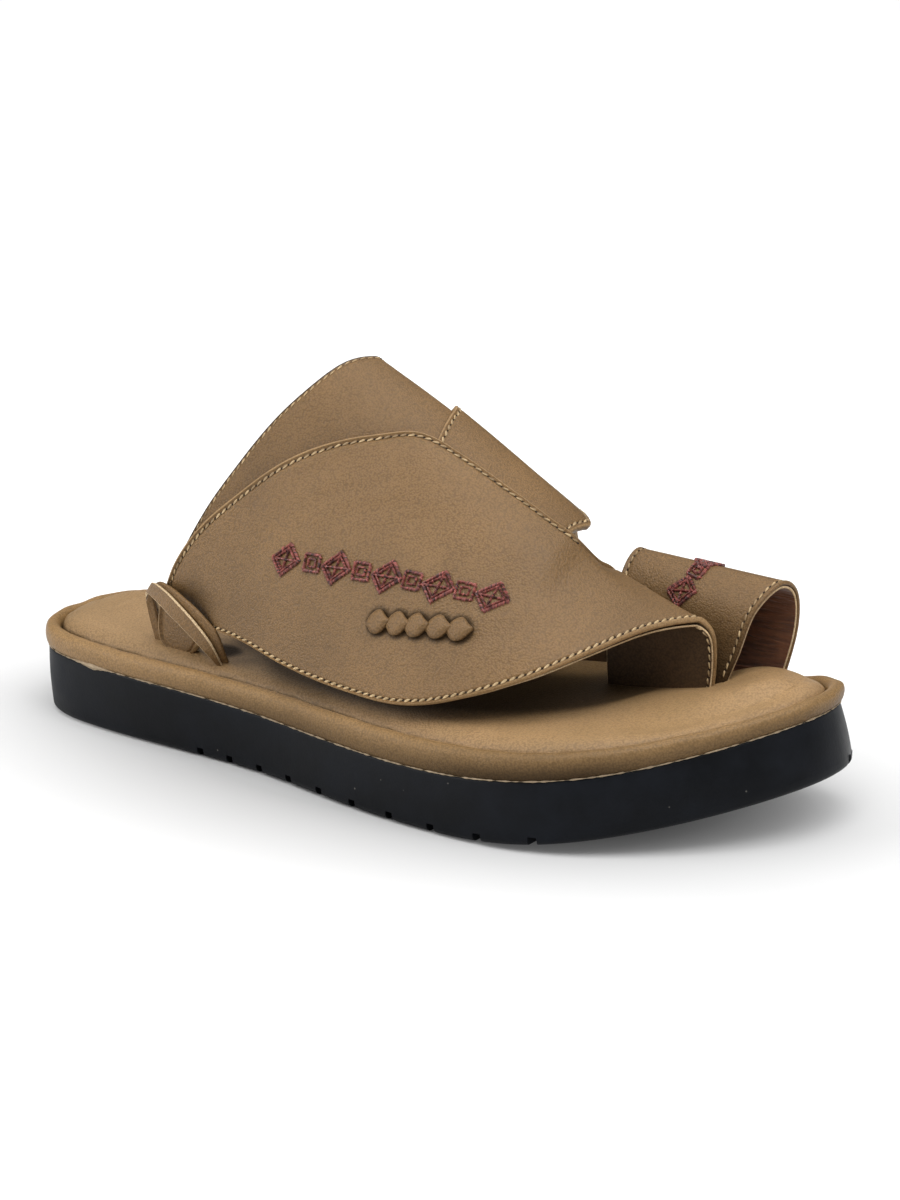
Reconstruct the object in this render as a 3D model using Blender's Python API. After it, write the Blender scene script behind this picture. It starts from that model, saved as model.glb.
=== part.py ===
"""Right arabic sandal, standing empty on its sole.

Stations run from the heel (0) to the toe (290), across runs from the little-toe side (minus) to the
big-toe side (plus), heights from the floor. Sizes are in millimetres until the points become metres.
"""
import bmesh
import bpy
import numpy as np

MM = 0.001
SOLE_LENGTH = 290.0
ORIGIN_STATION = 146.63    # station that lies over the origin
ORIGIN_ACROSS = -0.25      # across position that lies over the origin
JOIN_GAP = 0.3             # clear distance between pieces that touch

# Outsole, wrapped footbed and pad
OUTLINE_STEPS = 34         # points from heel to toe on each side
TOE_ROW = 10               # row of the outline table at the tip of the toe
EDGE_RADIUS = 2.4          # rounding of the outsole's lower edge
SPRING_START = 190.0       # station where the sole starts to rise
SPRING_HEIGHT = 17.6       # rise of the underside at the toe
TRAY_FLOOR = 3.6           # height of the footbed board over the seam
PAD_INSET = 5.1            # pad edge, in from the seam outline
PAD_SHOULDER = 16.0        # width of the pad's rounded shoulder
PAD_PUFF = 5.0             # height of the shoulder
PAD_EDGE_DROP = 1.0        # pad edge under the crease
GROOVE_WIDTH = 2.6
GROOVE_DEPTH = 3.0
GROOVE_COUNT = 10
GROOVE_FIRST = 86.0
GROOVE_PITCH = 13.0
GROOVE_SPREAD = 0.3        # the pitch grows toward the ball

# Leather
PANEL_WALL = 2.4           # instep panel
STRAP_RAISE = 2.2          # cross strap over the panel
FLAP_RAISE = 2.4           # flap over the panel
SEWN_OVERLAP = 1.0         # depth by which sewn layers share their wall
LOOP_WALL = 3.0
EAR_WALL = 2.8
POST_ACROSS = 18.5         # wall of the toe post between the first two toes
ACCENT_LOBES = 5
ACCENT_HALF_WIDTH = 3.3
ACCENT_RAISE = 2.4
ACCENT_START = (157.6, 0.252)
ACCENT_END = (192.2, 0.338)

# Seam outline between outsole and footbed, little-toe side first: station, across
SOLE_OUTLINE = (
    (0.0, 3.5), (9.0, -21.5), (36.0, -33.0), (76.0, -37.0), (115.0, -39.5),
    (154.0, -48.0), (193.0, -54.5), (228.0, -52.5), (254.0, -38.0), (276.0, -16.0),
    (290.0, 13.0),
    (281.5, 41.0), (257.0, 51.0), (216.0, 54.5), (170.0, 49.0), (120.0, 41.5),
    (74.0, 40.5), (34.0, 41.0), (7.0, 28.0),
)

# Side of the sole: station, seam height, flare of the lower edge, crease over the seam
SOLE_SIDE = (
    (0.0, 23.0, -0.5, 6.4),
    (70.0, 22.2, -2.0, 6.2),
    (140.0, 19.2, 1.2, 7.5),
    (210.0, 21.0, 1.0, 7.5),
    (250.0, 26.4, 2.0, 6.4),
    (290.0, 37.6, 4.4, 5.0),
)

# Rolled rim, once around: offset out from the seam outline, height in parts of the crease height
RIM_PROFILE = (
    (-0.6, 0.00), (0.7, 0.18), (1.1, 0.62), (0.5, 0.98), (-0.9, 1.20),
    (-2.5, 1.25), (-3.9, 1.13), (-4.7, 0.92), (-4.8, 0.55),
)

# Last: station, outer foot across and height, ridge across and height, inner foot across
LAST = (
    (40.0, -30.0, 31.0, 8.0, 175.0, 29.0),
    (60.0, -31.0, 31.0, 9.0, 165.0, 29.0),
    (90.0, -33.0, 31.0, 11.0, 150.0, 30.0),
    (124.0, -39.0, 30.0, 12.0, 132.0, 31.0),
    (153.0, -43.0, 30.0, 13.0, 116.5, 35.0),
    (180.0, -46.0, 30.5, 13.0, 100.0, 39.0),
    (205.0, -43.5, 32.5, 13.0, 83.2, 43.0),
    (215.0, -40.6, 34.0, 13.0, 74.6, 43.5),
    (226.0, -37.0, 36.0, 13.0, 67.5, 44.0),
    (252.0, -21.0, 43.5, 14.0, 57.5, 44.0),
)
FOOT_LEAN = 0.10           # how far the outer side leans in while it rises
FOOT_RISE = 0.40
RIDGE_BREADTH = 0.42       # flatness of the ridge toward the little-toe side
INNER_BREADTH = 0.50       # flatness of the ridge toward the big-toe side
INNER_RISE = 0.45

# Straps on the last. Around the last: 0 is the outer foot, 1 the ridge, 2 the inner foot.
# Instep panel: around, rear station, front station
PANEL = (
    (0.205, 72.0, 108.0),
    (0.31, 80.6, 136.0),
    (0.43, 91.4, 152.0),
    (0.55, 101.0, 161.0),
    (0.70, 111.5, 166.0),
    (0.86, 119.2, 168.0),
    (1.00, 124.3, 168.0),
    (1.20, 124.0, 165.0),
    (1.50, 114.0, 156.0),
    (2.00, 96.0, 142.0),
)
# Cross strap: around, rear station, front station
STRAP = (
    (0.50, 160.0, 203.0),
    (0.66, 158.8, 204.0),
    (0.82, 157.2, 204.8),
    (1.00, 154.0, 204.6),
    (1.20, 149.0, 197.0),
    (1.50, 141.0, 190.0),
    (1.75, 135.5, 196.0),
    (2.00, 130.0, 205.0),
)
SKIVE_FROM = 0.50          # the strap is pared thin under the flap from here
SKIVE_TO = 0.74            # and has its full raise from here
# Side flap from the tail to the foot of the toe post:
# lower station, lower around, upper station, upper around, raise, wall
FLAP = (
    (76.5, 0.010, 66.0, 0.010, -4.4, 2.4),
    (79.0, 0.028, 63.0, 0.032, -4.0, 2.4),
    (81.0, 0.056, 63.0, 0.085, -3.6, 2.4),
    (84.6, 0.076, 65.6, 0.135, -2.5, 2.4),
    (93.1, 0.084, 71.4, 0.200, 0.9, 2.8),
    (107.7, 0.083, 81.0, 0.280, 2.2, 3.2),
    (127.6, 0.065, 95.5, 0.380, 2.4, 3.2),
    (147.1, 0.053, 114.0, 0.518, 2.4, 3.2),
    (166.0, 0.052, 136.0, 0.672, 2.4, 3.2),
    (180.7, 0.072, 153.0, 0.785, 2.4, 3.2),
    (193.2, 0.114, 169.0, 0.820, 2.4, 3.2),
    (205.8, 0.185, 186.0, 0.840, 2.4, 3.2),
    (217.7, 0.300, 200.7, 0.859, 2.4, 3.2),
    (228.7, 0.482, 207.2, 0.908, 2.4, 3.2),
    (237.6, 0.712, 212.0, 1.060, 2.4, 3.2),
    (245.8, 0.985, 214.5, 1.220, 2.4, 3.2),
    (249.8, 1.257, 214.0, 1.420, 2.4, 3.2),
    (250.0, 1.620, 210.5, 1.700, 2.4, 3.2),
    (248.5, 2.000, 210.6, 2.000, 2.4, 3.2),
)
# Dip of the flap in front of the strap: station, depth at the ridge
FLAP_DIP = (
    (203.5, 0.0), (205.0, 4.5), (206.5, 7.4), (208.0, 8.1), (210.0, 6.6),
    (212.0, 5.1), (216.0, 3.2), (220.0, 2.0), (226.0, 0.8), (234.0, 0.0),
)
STEP_REAR = (140.0, 153.0)   # stations where the flap climbs on the strap
STEP_FRONT = (203.0, 211.0)  # and comes down again
DIP_START = (0.85, 1.00)     # places around where the dip sets in
DIP_END = (1.10, 1.80)       # and where it ends on the way down to the post

# Toe loop over the big toe, foot to foot:
# rear station, rear across, rear height, front station, front across, front height
TOE_LOOP = (
    (213.0, 21.6, 32.0, 250.5, 21.6, 36.0),
    (211.5, 23.0, 49.5, 255.0, 23.4, 48.5),
    (209.6, 26.8, 66.4, 259.2, 26.6, 63.0),
    (209.5, 36.5, 74.0, 264.0, 35.5, 71.0),
    (210.0, 45.5, 68.5, 265.5, 43.6, 66.5),
    (211.5, 48.8, 53.5, 264.5, 46.4, 53.5),
    (213.0, 47.8, 32.0, 261.0, 44.2, 36.0),
)

# Keeper ear around the tail, near foot to far foot:
# upper station, upper across, upper height, lower station, lower across, lower height
SIDE_EAR = (
    (93.0, -30.0, 30.5, 88.2, -29.8, 29.6),
    (92.7, -34.2, 40.8, 86.6, -34.0, 36.3),
    (87.6, -35.4, 47.1, 79.6, -35.0, 41.9),
    (79.5, -35.0, 52.2, 72.4, -34.2, 46.7),
    (70.0, -32.0, 55.1, 64.6, -31.0, 49.2),
    (60.1, -26.8, 54.5, 56.1, -25.8, 49.5),
    (58.0, -23.0, 47.6, 55.1, -22.3, 43.0),
    (60.6, -20.6, 32.6, 57.4, -20.2, 32.0),
)


def smooth(table, column, at):
    """Value of a table column: cubic curve through the rows, slopes weighted from both neighbours."""
    rows = np.array(table, float)
    xs, ys = rows[:, 0], rows[:, column]
    at = np.clip(np.asarray(at, float), xs[0], xs[-1])
    span = np.diff(xs)
    rise = np.diff(ys) / span
    slope = np.empty_like(ys)
    slope[1:-1] = (rise[:-1] * span[1:] + rise[1:] * span[:-1]) / (span[1:] + span[:-1])
    slope[0] = 1.5 * rise[0] - 0.5 * slope[1]
    slope[-1] = 1.5 * rise[-1] - 0.5 * slope[-2]
    i = np.clip(np.searchsorted(xs, at) - 1, 0, len(xs) - 2)
    w = (at - xs[i]) / span[i]
    near = (1 + 2 * w) * (1 - w) ** 2 * ys[i] + w * (1 - w) ** 2 * span[i] * slope[i]
    far = w * w * (3 - 2 * w) * ys[i + 1] + w * w * (w - 1) * span[i] * slope[i + 1]
    return near + far


def numbered(table):
    """Table with its row number as a new first column, for curves that run from row to row."""
    return [(float(i),) + tuple(row) for i, row in enumerate(table)]


def ease(at, start, stop):
    """Soft step from 0 at start to 1 at stop."""
    w = np.clip((at - start) / (stop - start), 0.0, 1.0)
    return w * w * (3 - 2 * w)


def closed_curve(points, per_row):
    """Closed cubic curve with steady curvature through the points, slopes from one linear system."""
    p = np.array(points, float)
    count = len(p)
    ahead = np.linalg.norm(np.roll(p, -1, 0) - p, axis=1)
    behind = np.roll(ahead, 1)
    system = np.zeros((count, count))
    right = np.zeros((count, 2))
    for i in range(count):
        j = (i + 1) % count
        system[i, i - 1] = 1 / behind[i]
        system[i, i] = 2 / behind[i] + 2 / ahead[i]
        system[i, j] = 1 / ahead[i]
        right[i] = 3 * ((p[i] - p[i - 1]) / behind[i] ** 2 + (p[j] - p[i]) / ahead[i] ** 2)
    slope = np.linalg.solve(system, right)
    w = np.arange(per_row)[:, None] / per_row
    parts = []
    for i in range(count):
        j = (i + 1) % count
        near = (1 + 2 * w) * (1 - w) ** 2 * p[i] + w * (1 - w) ** 2 * ahead[i] * slope[i]
        far = w * w * (3 - 2 * w) * p[j] + w * w * (w - 1) * ahead[i] * slope[j]
        parts.append(near + far)
    return np.vstack(parts)


FINE_OUTLINE = closed_curve(SOLE_OUTLINE, 40)


def outline_loop():
    """Evenly spaced loop from the heel along the little-toe side to the toe and back, with normals."""
    toe = TOE_ROW * 40
    closed = np.vstack([FINE_OUTLINE, FINE_OUTLINE[:1]])
    halves = []
    for part in (closed[:toe + 1], closed[toe:]):
        run = np.concatenate([[0], np.cumsum(np.linalg.norm(np.diff(part, axis=0), axis=1))])
        at = np.linspace(0, run[-1], OUTLINE_STEPS + 1)[:-1]
        halves.append(np.stack([np.interp(at, run, part[:, 0]), np.interp(at, run, part[:, 1])], 1))
    loop = np.vstack(halves)
    along = np.roll(loop, -1, 0) - np.roll(loop, 1, 0)
    out = np.stack([along[:, 1], -along[:, 0]], 1)
    return loop, out / np.linalg.norm(out, axis=1, keepdims=True)


LOOP, LOOP_OUT = outline_loop()
SEAM = smooth(SOLE_SIDE, 1, LOOP[:, 0])
FLARE = smooth(SOLE_SIDE, 2, LOOP[:, 0])


def underside(station):
    """Height of the sole's underside: flat, then a parabola up to the toe."""
    return SPRING_HEIGHT * np.clip((station - SPRING_START) / (SOLE_LENGTH - SPRING_START), 0, None) ** 2


def depth_inside(station, across):
    """Distance from a point on the footbed to the seam outline."""
    point = np.stack([np.ravel(station), np.ravel(across)], 1)
    away = np.linalg.norm(point[:, None, :] - FINE_OUTLINE[None, ::4, :], axis=2)
    return away.min(1).reshape(np.shape(station))


def pad_puff(depth):
    """Rounded shoulder of the pad, a quarter ellipse from its edge inward."""
    w = np.clip((depth - PAD_INSET) / PAD_SHOULDER, 0, 1)
    return PAD_PUFF * np.sqrt(1 - (1 - w) ** 2)


def pad_edge(station):
    """Height of the pad's edge, a little under the crease."""
    return smooth(SOLE_SIDE, 1, station) + smooth(SOLE_SIDE, 3, station) - PAD_EDGE_DROP


def pad_top(station, across):
    """Height of the padded insole."""
    return pad_edge(station) + pad_puff(depth_inside(station, across))


def cubic(a, b, c, d, t):
    """Point on a four-point curve, one coordinate at a time."""
    return (1 - t) ** 3 * a + 3 * t * (1 - t) ** 2 * b + 3 * t * t * (1 - t) * c + t ** 3 * d


def last_point(station, around, post):
    """Point on the last: a full curve from the outer foot to the ridge, another down to the inner foot."""
    station = np.asarray(station, float)
    outer, floor, ridge, top, inner = [smooth(LAST, k, station) for k in range(1, 6)]
    if post:
        inner = np.full_like(outer, POST_ACROSS)
    foot = pad_top(station, inner) + JOIN_GAP
    t = np.clip(around, 0, 1)
    wide, tall = ridge - outer, top - floor
    y_out = cubic(outer, outer + FOOT_LEAN * wide, ridge - RIDGE_BREADTH * wide, ridge, t)
    z_out = cubic(floor, floor + FOOT_RISE * tall, top, top, t)
    t = np.clip(around - 1, 0, 1)
    y_in = cubic(ridge, ridge + INNER_BREADTH * (inner - ridge), inner, inner, t)
    z_in = cubic(top, top, foot + INNER_RISE * (top - foot), foot, t)
    outside = around <= 1
    return np.stack([station + 0 * around, np.where(outside, y_out, y_in), np.where(outside, z_out, z_in)], -1)


def off_last(station, around, raise_by, post=False):
    """Point that stands off the last along its normal."""
    along = last_point(station + 0.5, around, post) - last_point(station - 0.5, around, post)
    up = np.minimum(around + 0.01, 2.0)
    down = np.maximum(around - 0.01, 0.0)
    across = last_point(station, up, post) - last_point(station, down, post)
    normal = np.cross(along, across)
    normal /= np.linalg.norm(normal, axis=-1, keepdims=True)
    return last_point(station, around, post) + normal * np.asarray(raise_by)[..., None]


def on_pad(points):
    """Keeps a strap's foot just clear of the pad."""
    lifted = points.copy()
    lifted[..., 2] = np.maximum(points[..., 2], pad_top(points[..., 0], points[..., 1]) + JOIN_GAP)
    return lifted


def leather(name, colour, roughness):
    material = bpy.data.materials.new(name)
    material.use_nodes = True
    shader = material.node_tree.nodes["Principled BSDF"]
    shader.inputs["Base Color"].default_value = (*colour, 1.0)
    shader.inputs["Roughness"].default_value = roughness
    return material


def make_object(name, points, faces, material):
    """Object in metres from points in millimetres, with its faces turned outward."""
    shift = np.array([ORIGIN_STATION, ORIGIN_ACROSS, 0.0])
    mesh = bpy.data.meshes.new(name)
    mesh.from_pydata(((np.asarray(points) - shift) * MM).tolist(), [], faces)
    bm = bmesh.new()
    bm.from_mesh(mesh)
    bmesh.ops.recalc_face_normals(bm, faces=bm.faces)
    bm.to_mesh(mesh)
    bm.free()
    mesh.materials.append(material)
    made = bpy.data.objects.new(name, mesh)
    bpy.context.scene.collection.objects.link(made)
    return made


def wall(name, outer, inner, material):
    """Closed wall between two point grids of the same size."""
    rows, columns = outer.shape[:2]
    half = rows * columns
    faces = []
    for i in range(rows - 1):
        for j in range(columns - 1):
            a = i * columns + j
            quad = (a, a + 1, a + columns + 1, a + columns)
            faces.append(quad)
            faces.append(tuple(half + k for k in reversed(quad)))
    rim = [j for j in range(columns)]
    rim += [i * columns + columns - 1 for i in range(1, rows)]
    rim += [(rows - 1) * columns + j for j in range(columns - 2, -1, -1)]
    rim += [i * columns for i in range(rows - 2, 0, -1)]
    for a, b in zip(rim, rim[1:] + rim[:1]):
        faces.append((b, a, half + a, half + b))
    points = np.vstack([outer.reshape(-1, 3), inner.reshape(-1, 3)])
    return make_object(name, points, faces, material)


def ring(offset, height):
    """Ring of the sole: seam outline moved out by the offset, at the given heights."""
    moved = LOOP + LOOP_OUT * np.broadcast_to(offset, len(LOOP))[:, None]
    return np.column_stack([moved, np.broadcast_to(height, len(LOOP))])


def seam_ring(offset, part, extra):
    """Ring over the seam: part of the crease height and an extra height, taken at its own stations."""
    moved = ring(offset, 0.0)
    moved[:, 2] = smooth(SOLE_SIDE, 1, moved[:, 0]) + part * smooth(SOLE_SIDE, 3, moved[:, 0]) + extra
    return moved


def rung_cap(points, first, pieces, height_at):
    """Closes a ring with rungs from side to side; returns the new points and the faces."""
    count = 2 * OUTLINE_STEPS
    ring_points = points[first:first + count]
    extra = []
    rungs = [[first]]
    base = len(points)
    for i in range(1, OUTLINE_STEPS):
        a, b = ring_points[i], ring_points[count - i]
        row = [first + i]
        for k in range(1, pieces):
            p = a + (b - a) * k / pieces
            row.append(base + len(extra))
            extra.append((p[0], p[1], height_at(p, a, b, k / pieces)))
        row.append(first + count - i)
        rungs.append(row)
    rungs.append([first + OUTLINE_STEPS])
    faces = []
    for low, high in zip(rungs, rungs[1:]):
        if len(low) == 1:
            faces += [(low[0], high[k], high[k + 1]) for k in range(len(high) - 1)]
        elif len(high) == 1:
            faces += [(low[k], high[0], low[k + 1]) for k in range(len(low) - 1)]
        else:
            faces += [(low[k], high[k], high[k + 1], low[k + 1]) for k in range(len(low) - 1)]
    return extra, faces


def ring_stack(name, rings, material, low_pieces=1, high_pieces=1, low_height=None, high_height=None):
    """Closed body from a stack of rings, capped with rungs at both ends."""
    def straight(p, a, b, k):
        return a[2] + (b[2] - a[2]) * k
    count = 2 * OUTLINE_STEPS
    points = np.vstack(rings)
    faces = []
    for level in range(len(rings) - 1):
        for i in range(count):
            j = (i + 1) % count
            a = level * count
            faces.append((a + i, a + j, a + count + j, a + count + i))
    for first, pieces, height in ((0, low_pieces, low_height),
                                  ((len(rings) - 1) * count, high_pieces, high_height)):
        extra, cap = rung_cap(points, first, pieces, height or straight)
        faces += cap
        if extra:
            points = np.vstack([points, extra])
    return make_object(name, points, faces, material)


def cutter(target, tool, operation):
    tool.hide_render = True
    tool.display_type = "WIRE"
    change = target.modifiers.new(tool.name, "BOOLEAN")
    change.operation = operation
    change.solver = "EXACT"
    change.object = tool


for old in list(bpy.data.objects):
    bpy.data.objects.remove(old, do_unlink=True)

TAN = leather("tan leather", (0.27, 0.18, 0.095), 0.6)
TAN_PAD = leather("tan leather pad", (0.35, 0.23, 0.12), 0.6)
BLACK = leather("black rubber", (0.012, 0.012, 0.015), 0.5)

# Outsole: straight side with a flare, rounded lower edge, cut across by the tread grooves
low = underside(LOOP[:, 0])
bottom = ring(FLARE - EDGE_RADIUS, 0.0)
bottom[:, 2] = underside(bottom[:, 0])
outsole = ring_stack("outsole", [
    bottom,
    ring(FLARE - 0.3 * EDGE_RADIUS, low + 0.3 * EDGE_RADIUS),
    ring(FLARE, low + EDGE_RADIUS),
    ring(0.5 * FLARE, 0.5 * (low + SEAM)),
    ring(0.0, SEAM),
], BLACK)
groove_points = []
groove_faces = []
stations = [GROOVE_FIRST + GROOVE_PITCH * k + GROOVE_SPREAD * k * k for k in range(GROOVE_COUNT)]
for station in stations:
    first = len(groove_points)
    roof = float(underside(np.array(station))) + GROOVE_DEPTH
    for height in (-8.0, roof):
        for side_x, side_y in ((-1, -1), (1, -1), (1, 1), (-1, 1)):
            groove_points.append((station + side_x * GROOVE_WIDTH / 2, side_y * 80.0, height))
    for quad in ((0, 3, 2, 1), (4, 5, 6, 7), (0, 1, 5, 4), (1, 2, 6, 5), (2, 3, 7, 6), (3, 0, 4, 7)):
        groove_faces.append(tuple(first + k for k in quad))
cutter(outsole, make_object("tread_cutter", groove_points, groove_faces, BLACK), "DIFFERENCE")

# Wrapped footbed: a board whose edge is rolled up around the pad
rim = [seam_ring(offset, part, JOIN_GAP) for offset, part in RIM_PROFILE]
rim.append(seam_ring(-PAD_INSET + JOIN_GAP, 0.0, TRAY_FLOOR))
ring_stack("footbed_wrap", rim, TAN)

# Insole pad: a cushion with a rounded shoulder that fills the rolled rim
pad = [seam_ring(-PAD_INSET, 0.0, TRAY_FLOOR + JOIN_GAP)]
for part in (0.0, 0.04, 0.16, 0.38, 0.68, 1.0):
    inset = PAD_INSET + part * PAD_SHOULDER
    pad.append(seam_ring(-inset, 1.0, pad_puff(inset) - PAD_EDGE_DROP))
ring_stack("insole_pad", pad, TAN_PAD)

# Upper, first layer: instep panel from under the flap over the ridge to the inner foot
around = np.linspace(PANEL[0][0], PANEL[-1][0], 27)
part = np.linspace(0, 1, 10)[None, :]
rear, front = [smooth(PANEL, k, around)[:, None] for k in (1, 2)]
grid_s = rear + (front - rear) * part
grid_a = around[:, None] + 0 * part
upper = wall("upper", on_pad(off_last(grid_s, grid_a, 0 * grid_s)),
             on_pad(off_last(grid_s, grid_a, 0 * grid_s - PANEL_WALL)), TAN)

# Upper, second layer: cross strap, pared thin where the flap covers it
around = np.linspace(STRAP[0][0], STRAP[-1][0], 23)
part = np.linspace(0, 1, 9)[None, :]
rear, front = [smooth(STRAP, k, around)[:, None] for k in (1, 2)]
grid_s = rear + (front - rear) * part
grid_a = around[:, None] + 0 * part
raised = -0.2 + (STRAP_RAISE + 0.2) * ease(grid_a, SKIVE_FROM, SKIVE_TO)
strap = wall("cross_strap", on_pad(off_last(grid_s, grid_a, raised)),
             on_pad(off_last(grid_s, grid_a, 0 * grid_s - SEWN_OVERLAP)), TAN)

# Upper, third layer: side flap from the tail over the ridge into the toe post
row = np.linspace(0, len(FLAP) - 1, 3 * (len(FLAP) - 1) + 1)
low_s, low_a, high_s, high_a, lift, thick = [smooth(numbered(FLAP), k, row)[:, None] for k in range(1, 7)]
part = np.linspace(0, 1, 13)[None, :]
grid_s = low_s + (high_s - low_s) * part
grid_a = low_a + (high_a - low_a) * part
climb = ease(grid_s, *STEP_REAR) * (1 - ease(grid_s, *STEP_FRONT)) * ease(grid_a, SKIVE_FROM, SKIVE_TO)
raised = lift + STRAP_RAISE * climb
dip = smooth(FLAP_DIP, 1, grid_s) * ease(grid_a, *DIP_START) * (1 - ease(grid_a, *DIP_END))
outer = off_last(grid_s, grid_a, raised, True)
inner = off_last(grid_s, grid_a, raised - thick, True)
outer[..., 2] -= dip
inner[..., 2] -= dip
flap = wall("side_flap", on_pad(outer), on_pad(inner), TAN)
cutter(upper, strap, "UNION")
cutter(upper, flap, "UNION")


def band(name, table, wall_size, per_row, columns):
    """Arched band from a table of its two edges; the wall grows inward, both feet end on the pad."""
    row = np.linspace(0, len(table) - 1, per_row * (len(table) - 1) + 1)
    edges = [smooth(numbered(table), k, row) for k in range(1, 7)]
    rear = np.stack(edges[:3], -1)[:, None, :]
    front = np.stack(edges[3:], -1)[:, None, :]
    grid = rear + (front - rear) * np.linspace(0, 1, columns)[None, :, None]
    inward = np.cross(np.gradient(grid, axis=0), np.gradient(grid, axis=1))
    inward /= np.linalg.norm(inward, axis=-1, keepdims=True)
    toward = grid.mean(axis=(0, 1)) - grid
    if (inward * toward).sum() < 0:
        inward = -inward
    return wall(name, on_pad(grid), on_pad(grid + inward * wall_size), TAN)


# Toe loop and keeper ear
band("toe_loop", TOE_LOOP, LOOP_WALL, 4, 9)
band("side_ear", SIDE_EAR, EAR_WALL, 3, 4)

# Woven accent: a row of leaf-shaped lobes on the flap
along = np.linspace(0, ACCENT_LOBES, 8 * ACCENT_LOBES + 1)
phase = along - np.floor(np.minimum(along, ACCENT_LOBES - 1e-6))
leaf = np.sin(np.pi * phase ** 0.8) ** 0.8
across = np.linspace(-1, 1, 7)
centre = [a + (b - a) * along[:, None] / ACCENT_LOBES for a, b in zip(ACCENT_START, ACCENT_END)]
tall = np.linalg.norm(last_point(centre[0], centre[1] + 0.01, True)
                      - last_point(centre[0], centre[1], True), axis=-1) / 0.01
half = (1.0 + (ACCENT_HALF_WIDTH - 1.0) * leaf)[:, None]
grid_s = centre[0] + 0 * across
grid_a = centre[1] + half * across / tall
dome = (0.7 + (ACCENT_RAISE - 0.7) * leaf[:, None]) * (1 - 0.8 * across ** 2)
seat = FLAP_RAISE + JOIN_GAP + 0 * dome
wall("woven_accent", off_last(grid_s, grid_a, seat + dome, True), off_last(grid_s, grid_a, seat, True), TAN)
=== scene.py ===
"""Right arabic sandal: rubber sole, wrapped footbed, pad, sewn upper, toe loop, ear and threads.

Sizes are in millimetres: stations run from the heel (0) to the toe (290), across from the little-toe
side (minus) to the big-toe side (plus), heights from the floor. Meshes are turned to metres at the end.
"""
import bmesh
import bpy
import numpy as np
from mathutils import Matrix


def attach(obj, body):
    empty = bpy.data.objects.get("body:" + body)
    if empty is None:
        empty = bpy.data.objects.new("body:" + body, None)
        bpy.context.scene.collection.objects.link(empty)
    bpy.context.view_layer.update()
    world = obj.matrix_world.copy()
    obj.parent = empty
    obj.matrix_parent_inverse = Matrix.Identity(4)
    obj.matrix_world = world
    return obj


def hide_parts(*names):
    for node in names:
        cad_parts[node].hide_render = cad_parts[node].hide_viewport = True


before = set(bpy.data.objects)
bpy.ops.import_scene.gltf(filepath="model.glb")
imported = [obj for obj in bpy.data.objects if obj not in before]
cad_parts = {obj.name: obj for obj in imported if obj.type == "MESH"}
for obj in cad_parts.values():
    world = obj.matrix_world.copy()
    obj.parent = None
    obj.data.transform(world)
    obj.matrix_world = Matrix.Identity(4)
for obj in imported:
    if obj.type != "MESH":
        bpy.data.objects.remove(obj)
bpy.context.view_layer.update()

# Outsole: one block of moulded black rubber with a slightly flared side and a rounded lower edge,
# cut across by narrow tread grooves. It carries the footbed, which is cemented on its flat top.
MM = 0.001
ORIGIN = np.array([146.63, -0.25, 0.0])
EDGE_RADIUS = 2.4
GROOVE_HALF = 1.3
GROOVE_DEPTH = 3.0
# across and half width of the short slots under the toe, their first station and their depth
TOE_SLOTS = ((28.5, 1.6), (35.5, 1.9))
TOE_SLOT_FROM = 262.0
TOE_SLOT_DEPTH = 2.4
# points across the sole between its sides, below and above
SOLE_RUNGS = (14, 6)
# station and across of the seam, around the sole
SOLE_OUTLINE = (
    (0, 3.5), (9, -21.5), (36, -33), (76, -37), (115, -39.5), (154, -48), (193, -54.5), (228, -52.5),
    (254, -38), (276, -16), (290, 13), (281.5, 41), (257, 51), (216, 54.5), (170, 49), (120, 41.5),
    (74, 40.5), (34, 41), (7, 28),
)
# station, seam height, flare of the lower edge, crease over the seam
SOLE_SIDE = (
    (0, 23, -0.5, 6.4), (70, 22.2, -2, 6.2), (140, 19.2, 1.2, 7.5),
    (210, 21, 1, 7.5), (250, 26.4, 2, 6.4), (290, 37.6, 4.4, 5),
)


def cubic_step(w, start, out, stop, into):
    """Cubic from start to stop at parts w of the way, with the slopes at its ends."""
    return (1 - w) ** 2 * ((1 + 2 * w) * start + w * out) + w * w * ((3 - 2 * w) * stop + (w - 1) * into)


def smooth(table, column, at):
    """Value of a table column: cubic curve through the rows, slopes weighted from both neighbours."""
    rows = np.array(table, float)
    xs, ys = rows[:, 0], rows[:, column]
    at = np.clip(np.asarray(at, float), xs[0], xs[-1])
    span = np.diff(xs)
    rise = np.diff(ys) / span
    slope = np.empty_like(ys)
    slope[1:-1] = (rise[:-1] * span[1:] + rise[1:] * span[:-1]) / (span[1:] + span[:-1])
    slope[0] = 1.5 * rise[0] - 0.5 * slope[1]
    slope[-1] = 1.5 * rise[-1] - 0.5 * slope[-2]
    i = np.clip(np.searchsorted(xs, at) - 1, 0, len(xs) - 2)
    w = (at - xs[i]) / span[i]
    return cubic_step(w, ys[i], span[i] * slope[i], ys[i + 1], span[i] * slope[i + 1])


def closed_curve(points, per_row):
    """Closed cubic curve with steady curvature through the points, slopes from one linear system."""
    p = np.array(points, float)
    q = np.roll(p, -1, 0)
    ahead = np.linalg.norm(q - p, axis=1)[:, None]
    behind = np.roll(ahead, 1, 0)
    system = np.diag((2 / behind + 2 / ahead)[:, 0])
    i = np.arange(len(p))
    system[i, i - 1] = 1 / behind[:, 0]
    system[i, (i + 1) % len(p)] = 1 / ahead[:, 0]
    slope = np.linalg.solve(system, 3 * ((p - np.roll(p, 1, 0)) / behind ** 2 + (q - p) / ahead ** 2))
    out, into = ahead * slope, ahead * np.roll(slope, -1, 0)
    w = (np.arange(per_row) / per_row)[None, :, None]
    return cubic_step(w, p[:, None], out[:, None], q[:, None], into[:, None]).reshape(-1, 2)


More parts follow.
